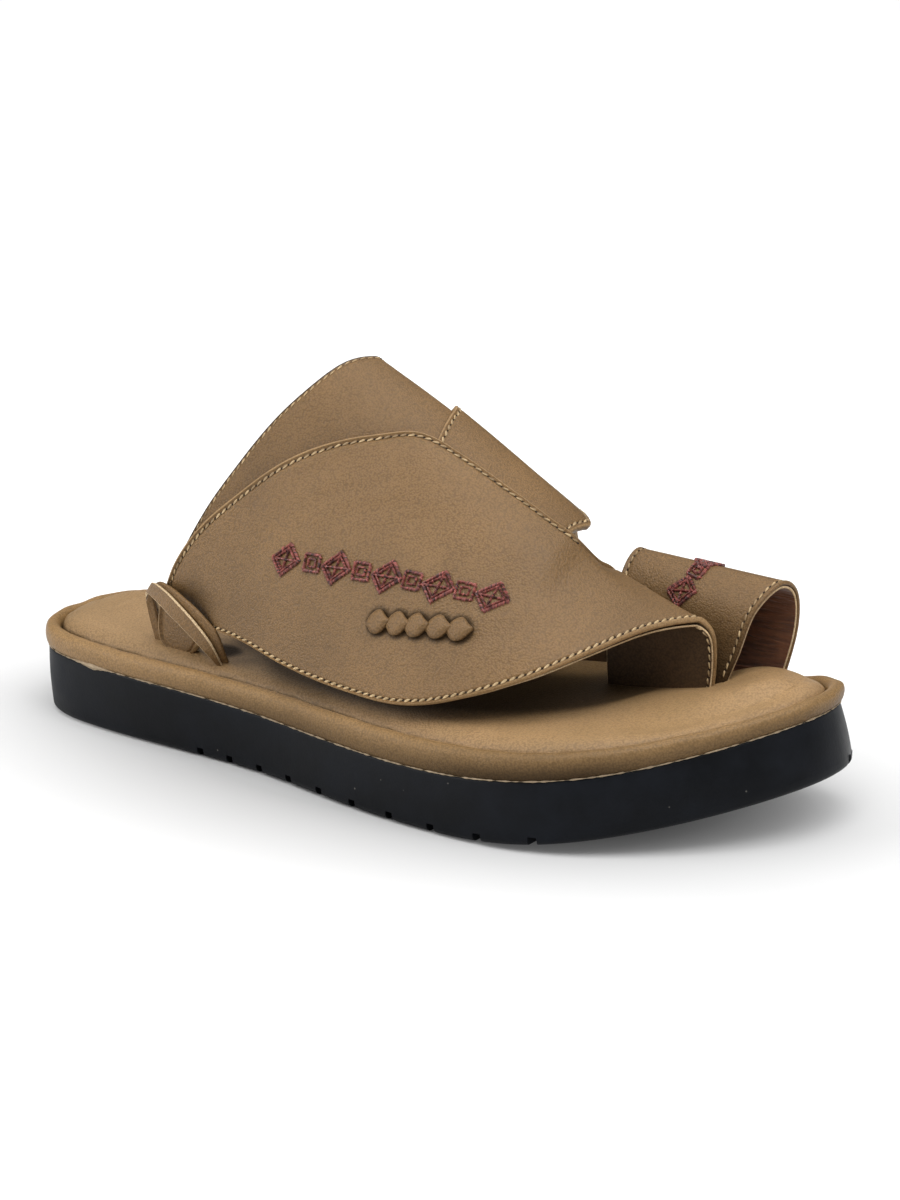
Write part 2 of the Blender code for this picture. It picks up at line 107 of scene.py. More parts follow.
def unit(ways):
    """Directions with length 1."""
    return ways / np.linalg.norm(ways, axis=-1, keepdims=True)


def run_along(line):
    """Length of a line of points up to each of them."""
    return np.append(0, np.cumsum(np.linalg.norm(np.diff(line, axis=0), axis=1)))


def underside(station):
    """Height of the sole's underside: flat, then a parabola up to the toe."""
    return 17.6 * np.clip((station - 190.0) / 100.0, 0, None) ** 2


OUTLINE = closed_curve(SOLE_OUTLINE, 120)
step = np.roll(OUTLINE, -1, 0) - np.roll(OUTLINE, 1, 0)
OUTWARD = unit(np.stack([step[:, 1], -step[:, 0]], 1))
foot = OUTLINE[:, 0] + OUTWARD[:, 0] * (smooth(SOLE_SIDE, 2, OUTLINE[:, 0]) - EDGE_RADIUS)
OUTLINE, OUTWARD, foot = [np.roll(a, -foot.argmin(), 0) for a in (OUTLINE, OUTWARD, foot)]
# columns: station, across and outward direction of the seam, closed around
SEAM = np.hstack([OUTLINE, OUTWARD])[np.arange(len(OUTLINE) + 1) % len(OUTLINE)]
RUN = run_along(SEAM[:, :2])
ROUND = RUN[-1]


def sole_sides(stations):
    """Seam points and outward directions at stations, and their runs around the sole, for both sides.

    The little-toe side is first. Sides are paired where the rounded edge meets the underside."""
    count, tip = len(OUTLINE), foot.argmax()
    found = []
    for index in (np.arange(0, tip + 1), np.arange(count, tip - 1, -1)):
        at = np.interp(stations, np.maximum.accumulate(foot[index % count]), index)
        found.append([np.interp(at, np.arange(count + 1), column) for column in (*SEAM.T, RUN)])
    x, y, out_x, out_y, run = np.array(found).transpose(1, 0, 2)
    return np.stack([x, y], -1), np.stack([out_x, out_y], -1), run


def joined(points, *values):
    """Points with further values of the same grid as last columns."""
    return np.concatenate([points] + [value[..., None] for value in values], -1)


def sole_body(levels, low_rungs, high_rungs):
    """Loops across the sole, one per station: levels up both sides, rungs across bottom and top."""
    levels = np.asarray(levels)

    def rungs(a, b, count):
        return a + (b - a) * (np.arange(1, count + 1) / (count + 1))[:, None, None]
    loop = np.concatenate([
        levels[::-1, 0], rungs(levels[0, 0], levels[0, 1], low_rungs),
        levels[:, 1], rungs(levels[-1, 1], levels[-1, 0], high_rungs)])
    return loop.transpose(1, 0, 2)


def grid_faces(rows, columns, close_rows=False):
    """Quads of a grid of points: each row is closed around, and the last row joins the first if asked."""
    i = np.arange(rows if close_rows else rows - 1)[:, None]
    j = np.arange(columns)[None, :]
    i2, j2 = (i + 1) % rows, (j + 1) % columns
    quad = np.broadcast_arrays(i * columns + j, i * columns + j2, i2 * columns + j2, i2 * columns + j)
    return np.stack(quad, -1).reshape(-1, 4)


def piece(name, points, faces, materials, of_face=None, sharp=50.0, **values):
    """Object in metres from points in millimetres: doubles merged, faces turned out, shaded smooth.

    Named values are kept on the points, for the materials to read."""
    mesh = bpy.data.meshes.new(name)
    mesh.from_pydata(((np.reshape(points, (-1, 3)) - ORIGIN) * MM).tolist(), [], faces.tolist())
    for material in materials:
        mesh.materials.append(material)
    if of_face is not None:
        mesh.polygons.foreach_set("material_index", np.asarray(of_face, np.int32))
    for key, value in values.items():
        kept = mesh.attributes.new(key, "FLOAT", "POINT")
        kept.data.foreach_set("value", np.ravel(value).astype(np.float32))
    bm = bmesh.new()
    bm.from_mesh(mesh)
    bmesh.ops.remove_doubles(bm, verts=bm.verts, dist=2e-6)
    bmesh.ops.recalc_face_normals(bm, faces=bm.faces)
    bm.to_mesh(mesh)
    bm.free()
    mesh.shade_smooth()
    mesh.set_sharp_from_angle(angle=np.radians(sharp))
    made = bpy.data.objects.new(name, mesh)
    bpy.context.scene.collection.objects.link(made)
    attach(made, "root")
    return made


def linear(code):
    """Linear colour from an sRGB hex code: a short straight start, then a power of 2.4."""
    part = np.array([int(code[i:i + 2], 16) for i in (1, 3, 5)]) / 255.0
    return (*np.where(part <= 0.04045, part / 12.92, ((part + 0.055) / 1.055) ** 2.4), 1.0)


def feed(node, feeds):
    """Gives each named input of a node a value, or a link from another node's output."""
    for key, value in feeds.items():
        if isinstance(value, bpy.types.NodeSocket):
            node.id_data.links.new(value, node.inputs[key])
        else:
            node.inputs[key].default_value = value


def add(tree, kind, output, feeds, **settings):
    """Adds a shader node with its settings and what feeds its inputs, and returns one of its outputs."""
    made = tree.nodes.new("ShaderNode" + kind)
    for key, value in settings.items():
        setattr(made, key, value)
    feed(made, feeds)
    return made.outputs[output]


def new_material(name, ior):
    """Empty principled material; returns it with its tree, its shader and its object coordinates."""
    material = bpy.data.materials.new(name)
    material.use_nodes = True
    tree = material.node_tree
    shader = tree.nodes["Principled BSDF"]
    feed(shader, {"IOR": ior})
    return material, tree, shader, add(tree, "TexCoord", "Object", {})


# Moulded black rubber: satin, a faint mould grain of about 0.9 mm, soft dusty clouds and a few pale
# specks where it was handled.
rubber, tree, shader, place = new_material("moulded black rubber", 1.42)
dust = add(tree, "TexNoise", "Fac", {"Vector": place, "Scale": 1 / 0.030, "Detail": 5, "Roughness": 0.6})
dusty = add(tree, "MapRange", 0, {"Value": dust, "From Min": 0.42, "From Max": 0.72})
tone = add(tree, "Mix", 2, {0: dusty, 6: linear("#07090D"), 7: linear("#11141A")}, data_type="RGBA")
fleck = add(tree, "TexVoronoi", "Distance", {"Vector": place, "Scale": 1 / 0.009})
pale = add(tree, "MapRange", 0, {"Value": fleck, "From Min": 0.045, "From Max": 0.02, "To Max": 0.5})
paint = add(tree, "Mix", 2, {0: pale, 6: tone, 7: linear("#77736D")}, data_type="RGBA")
gloss = add(tree, "MapRange", 0, {"Value": dust, "From Min": 0.3, "From Max": 0.7, "To Min": 0.38,
                                  "To Max": 0.56})
mould = add(tree, "TexNoise", "Fac", {"Vector": place, "Scale": 1 / 0.0009, "Detail": 3})
swell = add(tree, "TexNoise", "Fac", {"Vector": place, "Scale": 1 / 0.012, "Detail": 2})
height = add(tree, "Math", 0, {0: swell, 1: 4.0, 2: mould}, operation="MULTIPLY_ADD")
bump = add(tree, "Bump", 0, {"Height": height, "Strength": 0.5, "Distance": 0.00008})
feed(shader, {"Base Color": paint, "Roughness": gloss, "Specular IOR Level": 0.17, "Normal": bump})

# stations of the tread grooves, further apart toward the toe
grooves = 86.0 + 13.0 * np.arange(10) + 0.3 * np.arange(10) ** 2
even = foot.min() + np.ptp(foot) * 0.5 * (1 - np.cos(np.linspace(0, np.pi, 300)))
cuts = (grooves[:, None] + GROOVE_HALF * np.array([-1.08, -0.96, 0.96, 1.08])).ravel()
stations = np.sort(np.concatenate([even, cuts]))
seat, out, run = sole_sides(stations)
low = underside(seat[..., 0])
top, flare = [smooth(SOLE_SIDE, k, seat[..., 0]) for k in (1, 2)]
levels = []
for turn in np.linspace(0, np.pi / 2, 6):
    levels.append((flare - EDGE_RADIUS * (1 - np.sin(turn)), low + EDGE_RADIUS * (1 - np.cos(turn))))
for part in np.linspace(0.1, 1.0, 12):
    rise = low + EDGE_RADIUS + (top - 0.9 - low - EDGE_RADIUS) * part
    levels.append((flare * (1 - part) + 0.35 * np.sin(np.pi * part), rise))
for inset, under in ((0.12, 0.45), (0.4, 0.12), (0.9, 0.0), (6.0, 0.0)):
    levels.append((0 * flare - inset, top - under))
stack = [joined(seat + out * offset[..., None], rise) for offset, rise in levels]
stack[0][..., 2] = underside(stack[0][..., 0])
loops = sole_body(stack, *SOLE_RUNGS)
rung = slice(len(stack), len(stack) + SOLE_RUNGS[0])
loops[:, rung, 2] = underside(loops[:, rung, 0])
near = np.abs(stations[:, None] - grooves[None, :])
roof = np.where(near.min(1) < GROOVE_HALF, underside(grooves[near.argmin(1)]) + GROOVE_DEPTH, -1.0)
loops[..., 2] = np.maximum(loops[..., 2], roof[:, None])
for across, half in TOE_SLOTS:
    slot = (np.abs(loops[..., 1] - across) < half) & (loops[..., 0] > TOE_SLOT_FROM)
    roof = np.where(slot, underside(loops[..., 0]) + TOE_SLOT_DEPTH, -1.0)
    loops[..., 2] = np.maximum(loops[..., 2], roof)
outsole = piece("outsole_rubber", loops, grid_faces(*loops.shape[:2]), [rubber], sharp=40.0)
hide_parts("outsole")

# Wrapped footbed: tan leather drawn over the edge of a board, so that a soft roll runs around the
# sole. The leather is folded under the board and cemented on the rubber.
# outward from the seam in mm, height as a part of the crease's height
RIM_PROFILE = (
    (-0.9, -0.05), (-0.1, 0.02), (0.7, 0.18), (1.1, 0.58), (0.7, 0.94), (-0.5, 1.15),
    (-2, 1.21), (-3.3, 1.12), (-4.1, 0.90), (-4.45, 0.58), (-4.5, 0.25),
)
# rows of the profile where the painted shade on the outer side ends and the painted shade in the crease
# begins
RIM_TOP_ROW = 6.0
RIM_CREASE_ROW = 8.4
BOARD_INSET = 4.55


def ease(at, start, stop):
    """Soft step from 0 at start to 1 at stop."""
    w = np.clip((at - start) / (stop - start), 0.0, 1.0)
    return w * w * (3 - 2 * w)


def numbered(table):
    """Table with its row number as a new first column, for curves that run from row to row."""
    return [(float(i),) + tuple(row) for i, row in enumerate(table)]


def ripple(run, waves, phase):
    """Uneven wave around the sole: mean of sines with whole numbers of waves around it."""
    return np.mean([np.sin(2 * np.pi * n * run / ROUND + phase + 2.1 * n) for n in waves], axis=0)


def grain_leather(name, dark, mid, light, grain, relief, roughness):
    """Coated grain leather: cloudy tan in three tones, pebbles of the given width in mm, satin finish.

    The points' own painted shade value darkens it where shade is painted, in creases, under parts and on
    shaded sides, and takes its shine away."""
    material, tree, shader, place = new_material(name, 1.48)
    wide = grain * MM
    cloud = add(tree, "TexNoise", "Fac", {"Vector": place, "Scale": 1 / 0.040, "Detail": 4})
    spread = add(tree, "MapRange", 0, {"Value": cloud, "From Min": 0.35, "From Max": 0.65})
    tone = add(tree, "Mix", 2, {0: spread, 6: linear(mid), 7: linear(light)}, data_type="RGBA")
    bend = add(tree, "TexNoise", "Color", {"Vector": place, "Scale": 1 / (2.2 * wide), "Detail": 2})
    bent = add(tree, "VectorMath", 0, {0: bend, 1: (wide,) * 3, 2: place}, operation="MULTIPLY_ADD")
    pebble = add(tree, "TexVoronoi", "Distance", {"Vector": bent, "Scale": 1 / wide, "Smoothness": 0.35},
                 feature="SMOOTH_F1")
    valley = add(tree, "MapRange", 0, {"Value": pebble, "From Min": 0.32, "From Max": 0.72, "To Max": 0.47})
    paint = add(tree, "Mix", 2, {0: valley, 6: tone, 7: linear(dark)}, data_type="RGBA")
    # Painted shade: the points' value mixes in a dark brown and, below, takes the shine away.
    soil = add(tree, "Attribute", "Fac", {}, attribute_name="soil")
    shaded = add(tree, "Mix", 2, {0: soil, 6: paint, 7: linear("#1F1812")}, data_type="RGBA")
    pores = add(tree, "TexNoise", "Fac", {"Vector": place, "Scale": 1 / (0.35 * wide), "Detail": 2})
    satin = add(tree, "MapRange", 0, {"Value": pores, "From Min": 0.3, "From Max": 0.7,
                                      "To Min": roughness - 0.07, "To Max": roughness + 0.07})
    domes = add(tree, "Math", 0, {0: pebble, 1: -1.0, 2: 1.0}, operation="MULTIPLY_ADD")
    height = add(tree, "Math", 0, {0: pores, 1: 0.35, 2: domes}, operation="MULTIPLY_ADD")
    bump = add(tree, "Bump", 0, {"Height": height, "Strength": relief, "Distance": 0.28 * wide})
    shine = add(tree, "MapRange", 0, {"Value": soil, "To Min": 0.33, "To Max": 0.02})
    feed(shader, {"Base Color": shaded, "Roughness": satin, "Specular IOR Level": shine, "Normal": bump})
    return material


# Wrap leather: drawn tight over the roll, so that its grain is fine and low.
wrap_leather = grain_leather("tan wrap leather", "#5A4529", "#886A43", "#95754B", 0.65, 0.8, 0.50)
seat, out, run = sole_sides(even)
wave = ripple(run, (11, 17, 29, 47), 0.4)
levels = []
for at in np.linspace(0, len(RIM_PROFILE) - 1, 46):
    offset, part = [float(smooth(numbered(RIM_PROFILE), k, at)) for k in (1, 2)]
    moved = seat + out * (offset + 0.42 * wave * np.clip(part, 0, 1))[..., None]
    station = moved[..., 0]
    over = np.clip((part - 0.5) / 0.7, 0, 1)
    rise = smooth(SOLE_SIDE, 1, station) + part * smooth(SOLE_SIDE, 3, station) + 0.25
    # Painted shade: the roll darkens towards its lower edge, more along the front, and in the crease above
    # it.
    low = (1 - 0.6 * ease(part, 0.1, 1.15)) * ease(station, 50, 120)
    low = low * (0.50 + 0.32 * ease(station, 165, 215) * (1 - ease(station, 240, 265)))
    soil = np.maximum(low * (at < RIM_TOP_ROW), 0.8 * np.clip(at - RIM_CREASE_ROW, 0, 1))
    levels.append(joined(moved, rise + 0.36 * wave * over, soil))
board = seat - out * BOARD_INSET
floor = smooth(SOLE_SIDE, 1, board[..., 0]) + 1.0
# The leather folded under the board is painted in full shade.
levels.append(joined(board, floor, np.ones_like(floor)))
loops = sole_body(levels, 6, 8)
wrap = piece("footbed_wrap_roll", loops[..., :3], grid_faces(*loops.shape[:2]), [wrap_leather],
             soil=loops[..., 3])
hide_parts("footbed_wrap")

# Dried glue: pale cement that was squeezed out of the seam between roll and rubber, as a thin ragged
# bead that comes and goes around the sole, with one thicker drop near the heel.
DROP_STATION = 38.0


def turns(count):
    """Angles of points that stand evenly around a circle."""
    return np.linspace(0, 2 * np.pi, count, endpoint=False)


def two_tone(name, dark, light, roughness, ior, fine, detail, relief=None, shade=False):
    """Material in two tones, mixed by a noise of the given width in mm, or by the points' own shade.

    Relief is the strength and the depth in mm of the noise as bump."""
    material, tree, shader, place = new_material(name, ior)
    noise = add(tree, "TexNoise", "Fac", {"Vector": place, "Scale": 1 / (fine * MM), "Detail": detail})
    part = add(tree, "Attribute", "Fac", {}, attribute_name="shade") if shade else noise
    tone = add(tree, "Mix", 2, {0: part, 6: linear(dark), 7: linear(light)}, data_type="RGBA")
    feed(shader, {"Base Color": tone, "Roughness": roughness})
    if relief:
        bump = add(tree, "Bump", 0, {"Height": noise, "Strength": relief[0], "Distance": relief[1] * MM})
        feed(shader, {"Normal": bump})
    return material


# Dried cement: matt and crumbly, in crumbs of about 1.2 mm.
glue = two_tone("dried cement", "#6E5B43", "#B9A588", 0.7, 1.47, 1.2, 3, (0.6, 0.2))
along = np.linspace(0, ROUND, 1400, endpoint=False)
x, y, out_x, out_y = [np.interp(along, RUN, column)[:, None] for column in SEAM.T]
thick = 0.24 + 0.40 * np.clip(ripple(along, (37, 61, 97, 151, 233), 1.1), -0.5, 1.0)[:, None]
thick = thick + 1.5 * np.exp(-((x - DROP_STATION) / 5.0) ** 2) * (y < 0)
turn = turns(6)
reach = 0.10 + thick * (0.9 * np.cos(turn) - 0.4)
bead = np.stack([x + out_x * reach, y + out_y * reach,
                 smooth(SOLE_SIDE, 1, x) + 0.1 + thick * 0.8 * np.sin(turn)], -1)
cement = piece("cement_bead", bead, grid_faces(*bead.shape[:2], close_rows=True), [glue])

# Insole pad: foam under tan leather, rounded at its shoulder and tucked behind the roll, with small
# puckers where the leather is drawn in.
PAD_INSET = 5.1
PAD_SHOULDER = 16.0
PAD_PUFF = 5.0
# power of the pad's rounded section, fuller than an ellipse, whose power is 2
PAD_ROUND = 3.1
# points across the pad inside its rounded sides, below and on top
PAD_LOW, PAD_CAP = 6, 26
# station, across and height of the swellings in front of and inside the toe loop
PAD_SWELLS = ((256.5, 34.5, 5.4), (271, 22, 2.4))
# station and across of the pocket of painted shade at the keeper ear's foot
PAD_POCKET = (84.5, -20.0)
# station and across of the line under the flap's edge, inside which painted shadow darkens the pad
PAD_SHADE = (
    (70, -4), (84, -13), (96, -16), (110, -28), (140, -35.5), (169.6, -35.5), (185, -30.5), (198, -27),
    (209, -21), (218.6, -12.5), (227, -2), (233, 14.7),
)


def pad_edge(station):
    """Height of the pad's edge, 1 mm under the crease."""
    return smooth(SOLE_SIDE, 1, station) + smooth(SOLE_SIDE, 3, station) - 1.0


def pad_top(station, across):
    """Height of the padded insole over a point: its edge and a shoulder, a quarter ellipse inward."""
    point = np.stack([np.ravel(station), np.ravel(across)], 1)
    away = np.linalg.norm(point[:, None] - OUTLINE[None, ::16], axis=2).min(1).reshape(np.shape(station))
    w = np.clip((away - PAD_INSET) / PAD_SHOULDER, 0, 1)
    return pad_edge(station) + PAD_PUFF * np.sqrt(1 - (1 - w) ** 2)


# Pad leather: the same hide, softer and paler from wear.
pad_leather = grain_leather("tan pad leather", "#634D33", "#957852", "#A3835C", 0.70, 0.9, 0.48)
pucker = ripple(run, (29, 47, 71), 2.2)
sag = ripple(run, (7, 11), 0.9)
toward_toe = ease(seat[..., 0], 225, 265)
deep = 16.4 - 8.4 * toward_toe
tall = 7.9 - 2.3 * toward_toe
levels = []
parts = 1 - np.cos(np.linspace(0, np.pi / 2, 30))
for part in parts:
    moved = seat - out * (4.75 - 0.42 * wave * (1 - part) + part * deep)[..., None]
    fade = np.exp(-(part / 0.30) ** 2)
    lift = 0.40 * pucker * fade * ease(part, 0, 0.05) + 0.35 * sag * ease(part, 0, 0.25)
    rise = pad_edge(moved[..., 0]) - 2.2 + tall * (1 - (1 - part) ** PAD_ROUND) ** (1 / PAD_ROUND) + lift
    # Painted shade in the crease at the roll, and a lighter painted shade on the shoulder.
    crease, shoulder_shade = 0.7 * (1 - ease(part, 0.01, 0.06)), 0.18 * (1 - ease(part, 0.05, 0.5))
    levels.append(joined(moved, rise, np.full_like(rise, max(crease, shoulder_shade))))
loops = sole_body(levels, PAD_LOW, PAD_CAP)
station, across = loops[..., 0], loops[..., 1]
# Painted shade in the pocket at the ear's foot, and painted shadow under the flap's edge.
pocket = np.hypot(station - PAD_POCKET[0], across - PAD_POCKET[1])
under = across - smooth(PAD_SHADE, 1, station)
inward = 8 + 36 * ease(station, 105, 135)
under = ease(under, -6, 6) * (1 - ease(under, inward, inward + 15))
under = under * ease(station, 72, 86) * (1 - ease(station, 229, 238))
shade = np.maximum(0.9 * (1 - ease(pocket, 4, 9)), 0.76 * under)
loops[..., 3] = np.maximum(loops[..., 3], shade)
cap = loops[:, 2 * len(levels) + PAD_LOW:]
dent = np.sin(cap[..., 0] / 19.0 + 0.7) * np.sin(cap[..., 1] / 13.0 + 0.4)
arch = np.sin(np.pi * np.arange(1, PAD_CAP + 1) / (PAD_CAP + 1)) ** 0.5
span = np.linalg.norm(cap[:, :1, :2] - cap[:, -1:, :2], axis=2)
swell = ease(cap[..., 0], 215, 255) * (1 - ease(cap[..., 0], 265, 284)) * ease(span, 6, 36)
cap[..., 2] += 0.22 * dent * arch + 4.4 * swell * arch ** 4
inner = ease(parts, 0.1, 0.9)
inner = np.concatenate([inner[::-1], np.zeros(PAD_LOW), inner, np.ones(PAD_CAP)])
for s, a, high in PAD_SWELLS:
    away = np.hypot((station - s) / 1.3, across - a)
    loops[..., 2] += high * inner * (1 - ease(away, 0, 19))
pad = piece("insole_pad_leather", loops[..., :3], grid_faces(*loops.shape[:2]), [pad_leather],
            soil=loops[..., 3])
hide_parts("insole_pad")

# Instep panel: the rear part of the upper, tan leather on a thin lining, shaped on the last. It rises
# from under the side flap over the ridge to the big-toe side, and its rear edge is painted dark.
# station, outer foot across and height, ridge across and height, inner foot across
LAST = (
    (40, -30, 31, 8, 175, 29), (60, -31, 31, 9, 165, 29), (90, -33, 31, 11, 150, 30),
    (124, -39, 30, 12, 132, 31), (153, -43, 30, 13, 116.5, 35), (180, -46, 30.5, 13, 100, 39),
    (205, -43.5, 32.5, 13, 83.2, 43), (215, -40.6, 34, 13, 74.6, 43.5), (226, -37, 36, 13, 67.5, 44),
    (252, -21, 43.5, 14, 57.5, 44),
)
# around, rear station, front station
PANEL = (
    (0.205, 72, 108), (0.31, 80.6, 136), (0.43, 91.4, 152), (0.55, 101, 161), (0.70, 111.5, 166),
    (0.86, 119.2, 168), (1.00, 124.3, 168), (1.20, 124, 165), (1.50, 114, 156), (2.00, 96, 142),
)
FOOT_SINK = 0.9
# across of the toe post, where the flap's end comes down between the toes
POST_ACROSS = 18.5
STITCH_PITCH = 2.8
PANEL_STITCH_INSET = 1.1
FOOT_STATIONS = np.linspace(30.0, 262.0, 233)
FOOT_INNER = pad_top(FOOT_STATIONS, smooth(LAST, 5, FOOT_STATIONS)) - FOOT_SINK
FOOT_POST = pad_top(FOOT_STATIONS, POST_ACROSS + 0 * FOOT_STATIONS) - FOOT_SINK


def cubic(a, b, c, d, t):
    """Point on a four-point curve, one coordinate at a time."""
    return (1 - t) ** 3 * a + 3 * t * (1 - t) ** 2 * b + 3 * t * t * (1 - t) * c + t ** 3 * d


def last_point(station, around, post):
    """Point on the last: a full curve from the outer foot to the ridge, another down to the inner foot."""
    outer, floor, ridge, top, inner = [smooth(LAST, k, station) for k in range(1, 6)]
    inner = np.full_like(outer, POST_ACROSS) if post else inner
    foot_at = np.interp(station, FOOT_STATIONS, FOOT_POST if post else FOOT_INNER)
    t = np.clip(around, 0, 1)
    wide, tall = ridge - outer, top - floor
    y_out = cubic(outer, outer + 0.10 * wide, ridge - 0.42 * wide, ridge, t)
    z_out = cubic(floor, floor + 0.40 * tall, top, top, t)
    t = np.clip(around - 1, 0, 1)
    y_in = cubic(ridge, ridge + 0.50 * (inner - ridge), inner, inner, t)
    z_in = cubic(top, top, foot_at + 0.45 * (top - foot_at), foot_at, t)
    side = around <= 1
    return np.stack([station + 0 * around, np.where(side, y_out, y_in), np.where(side, z_out, z_in)], -1)


def off_last(station, around, lift, post):
    """Point that stands off the last along its normal, which comes from steps to both sides."""
    station, around, lift = np.broadcast_arrays(np.asarray(station, float), around, lift)
    along = last_point(station + 0.5, around, post) - last_point(station - 0.5, around, post)
    rise = last_point(station, np.minimum(around + 0.01, 2.0), post)
    rise = rise - last_point(station, np.maximum(around - 0.01, 0.0), post)
    return last_point(station, around, post) + unit(np.cross(along, rise)) * lift[..., None]


def width_of(at, rows):
    """Width of a strap at each row, along its curved face."""
    face = at(rows[:, None], np.linspace(0, 1, 17)[None, :], 0.0)
    return np.linalg.norm(np.diff(face, axis=1), axis=-1).sum(1)[:, None]


def strap(name, at, rows, wall, lift, materials, channels=(), columns=40, edge=0.7, relief=None, soil=None):
    """Closed strap: face, rounded edges and lining side as one loop per row, capped at both ends.

    at(row, part, lift) is the point that stands lift over the face at a part of the width. A channel is
    an edge (0 or 1) with an inset and a depth, where the thread draws the leather in."""
    edge = min(edge, 0.5 * wall)
    width = width_of(at, rows)
    turn = np.linspace(0, np.pi / 2, 4)
    rim = edge * (1 - np.cos(turn)) + 0 * width
    drop = edge * (1 - np.sin(turn))
    fine = (edge + np.array([0.25, 0.5, 0.75, 1.0, 1.25, 1.5, 1.8, 2.2, 2.8, 3.6])) * np.ones_like(width)
    fine = fine * np.minimum(1.0, 0.46 * width / fine[:, -1:])
    middle = np.linspace(0, 1, columns + 2)[None, 1:-1]
    middle = fine[:, -1:] + (width - 2 * fine[:, -1:]) * middle
    face = np.hstack([rim, fine, middle, width - fine[:, ::-1], width - rim[:, ::-1]])
    count = face.shape[1]
    depth = np.concatenate([drop, np.zeros(count - 8), drop[::-1]])
    shape = np.zeros_like(face)
    for side, inset, deep in channels:
        away = face if side == 0 else width - face
        ridge, groove = [np.exp(-((away - line) / 0.55) ** 2) for line in (0.40 * inset, inset)]
        shape += deep * (0.8 * ridge - groove)
    if relief is not None:
        shape = shape + relief(rows[:, None], face / width)
    part = np.hstack([face, face[:, ::-1]]) / width
    sunk = np.hstack([shape - depth, (0.6 * shape - wall + depth)[:, ::-1]])
    points = at(rows[:, None], part, lift + sunk)
    around = 2 * count
    column = np.tile(np.arange(around), len(rows) - 1)
    kind = np.where(column < count - 1, 0, 2)
    kind[(column < 3) | (column > around - 5)] = 1
    kind[(column > count - 5) & (column < count + 3)] = 1
    j = np.arange(count - 1)
    cap = np.stack([j, j + 1, around - 2 - j, around - 1 - j], -1)
    faces = np.vstack([grid_faces(len(rows), around), cap, cap + (len(rows) - 1) * around])
    kind = np.concatenate([kind, np.ones(2 * len(cap), int)])
    # Painted shade kept on the points, none unless given.
    shading = 0 * points[..., 0] if soil is None else soil(points)
    return piece(name, points, faces, materials, kind, soil=shading)


def stitch_line(at, rows, side, inset, lift):
    """Seats of a row of stitches at even steps along a line inset from an edge: middle, along, up, step."""
    width = width_of(at, rows)
    part = inset / width if side == 0 else 1 - inset / width
    line, above = [at(rows[:, None], part, lift + over)[:, 0] for over in (0.0, 0.3)]
    run = run_along(line)
    step = run[-1] / max(1, round(run[-1] / STITCH_PITCH))
    middle = np.arange(0.5 * step, run[-1], step)

    def on(track, where):
        return np.stack([np.interp(where, run, column) for column in track.T], -1)
    along = unit(on(line, middle + 0.6) - on(line, middle - 0.6))
    return on(line, middle), along, unit(on(above, middle) - on(line, middle)), step


def repeated(quads, each, count, first=0):
    """Quads of count equal shapes of each points, the first of which starts at a point's number."""
    return (first + each * np.arange(count)[:, None, None] + quads).reshape(-1, 4)


def sew(name, on, rows, edges, inset, lift, size=1.0, painted_light=0.0):
    """Rows of twisted thread: each stitch is two strands that wind half a turn and dip into dark holes.

    Size scales the thread's thickness, and the last argument is the least part of the light tone, a painted
    highlight for rows that catch the light."""
    rings, sides, corners = 9, 6, 8
    at = np.linspace(-1, 1, rings)[:, None]
    turn, spin = turns(sides), turns(corners)
    thick = 0.24 * size * np.sqrt(np.clip(1 - 0.75 * at ** 4, 0, 1))
    ends = np.array([[0, 1, 2, 3], [0, 3, 4, 5]])
    tube = np.vstack([grid_faces(rings, sides), ends[:, ::-1], ends + (rings - 1) * sides])
    pit = np.array([[0, 1, 2, 3], [0, 3, 4, 7], [4, 5, 6, 7]])
    blocks, faces, kinds, shades, first = [], [], [], [], 0
    rng = np.random.default_rng(11)
    for edge in edges:
        middle, along, up, step = stitch_line(on, rows, edge, inset, lift)
        axes = np.stack([along, np.cross(up, along), up], 1)
        shapes = []
        for strand in (0.0, np.pi):
            wind = strand + 0.5 * np.pi * at
            x = 0.41 * step * at + 0 * turn
            y = 0.21 * size * np.cos(wind) + thick * np.cos(turn) + 0.35 * size * at
            z = 0.20 + 0.12 * np.sin(wind) + thick * np.sin(turn) - 0.42 * at ** 6
            tone = painted_light + (1 - painted_light) * rng.random(len(middle))
            shapes.append((np.stack([x, y, z], -1).reshape(-1, 3), tube, 0, tone))
        rim = np.stack([0.5 * step + 0.46 * np.cos(spin), 0.36 * np.sin(spin), 0.05 + 0 * spin], -1)
        shapes.append((rim, pit, 1, np.zeros(len(middle))))
        for local, quads, kind, tone in shapes:
            faces.append(repeated(quads, len(local), len(middle), first))
            kinds.append(np.full(len(faces[-1]), kind))
            shades.append(np.repeat(tone, len(local)))
            blocks.append((middle[:, None] + local @ axes).reshape(-1, 3))
            first += len(blocks[-1])
    return piece(name, np.vstack(blocks), np.vstack(faces), [thread, needle_hole], np.concatenate(kinds),
                 shade=np.concatenate(shades))


# Upper leather is darker and shinier, its lining dark and matt, partly its own colour and partly painted
# shade for the hollows under the flap, and the painted edge almost black.
lining_leather = grain_leather("tan lining leather", "#2A1F14", "#4A3825", "#58432D", 0.7, 0.25, 0.66)
upper_leather = grain_leather("tan upper leather", "#46351F", "#715635", "#7E603B", 0.62, 1.2, 0.43)
painted_edge = grain_leather("dark painted edge", "#1E1712", "#3A2D22", "#4A3A2B", 0.5, 0.25, 0.5)
# Twisted sewing thread: waxed tan yarn, slightly glossy, each stitch a little lighter or darker.
thread = two_tone("waxed tan thread", "#7A6344", "#C4AA80", 0.48, 1.5, 0.3, 2, (0.4, 0.08), shade=True)
# Needle holes: the dark shade inside the pierced leather.
needle_hole = two_tone("pierced leather shade", "#1B130C", "#35271A", 0.9, 1.4, 0.8, 2)


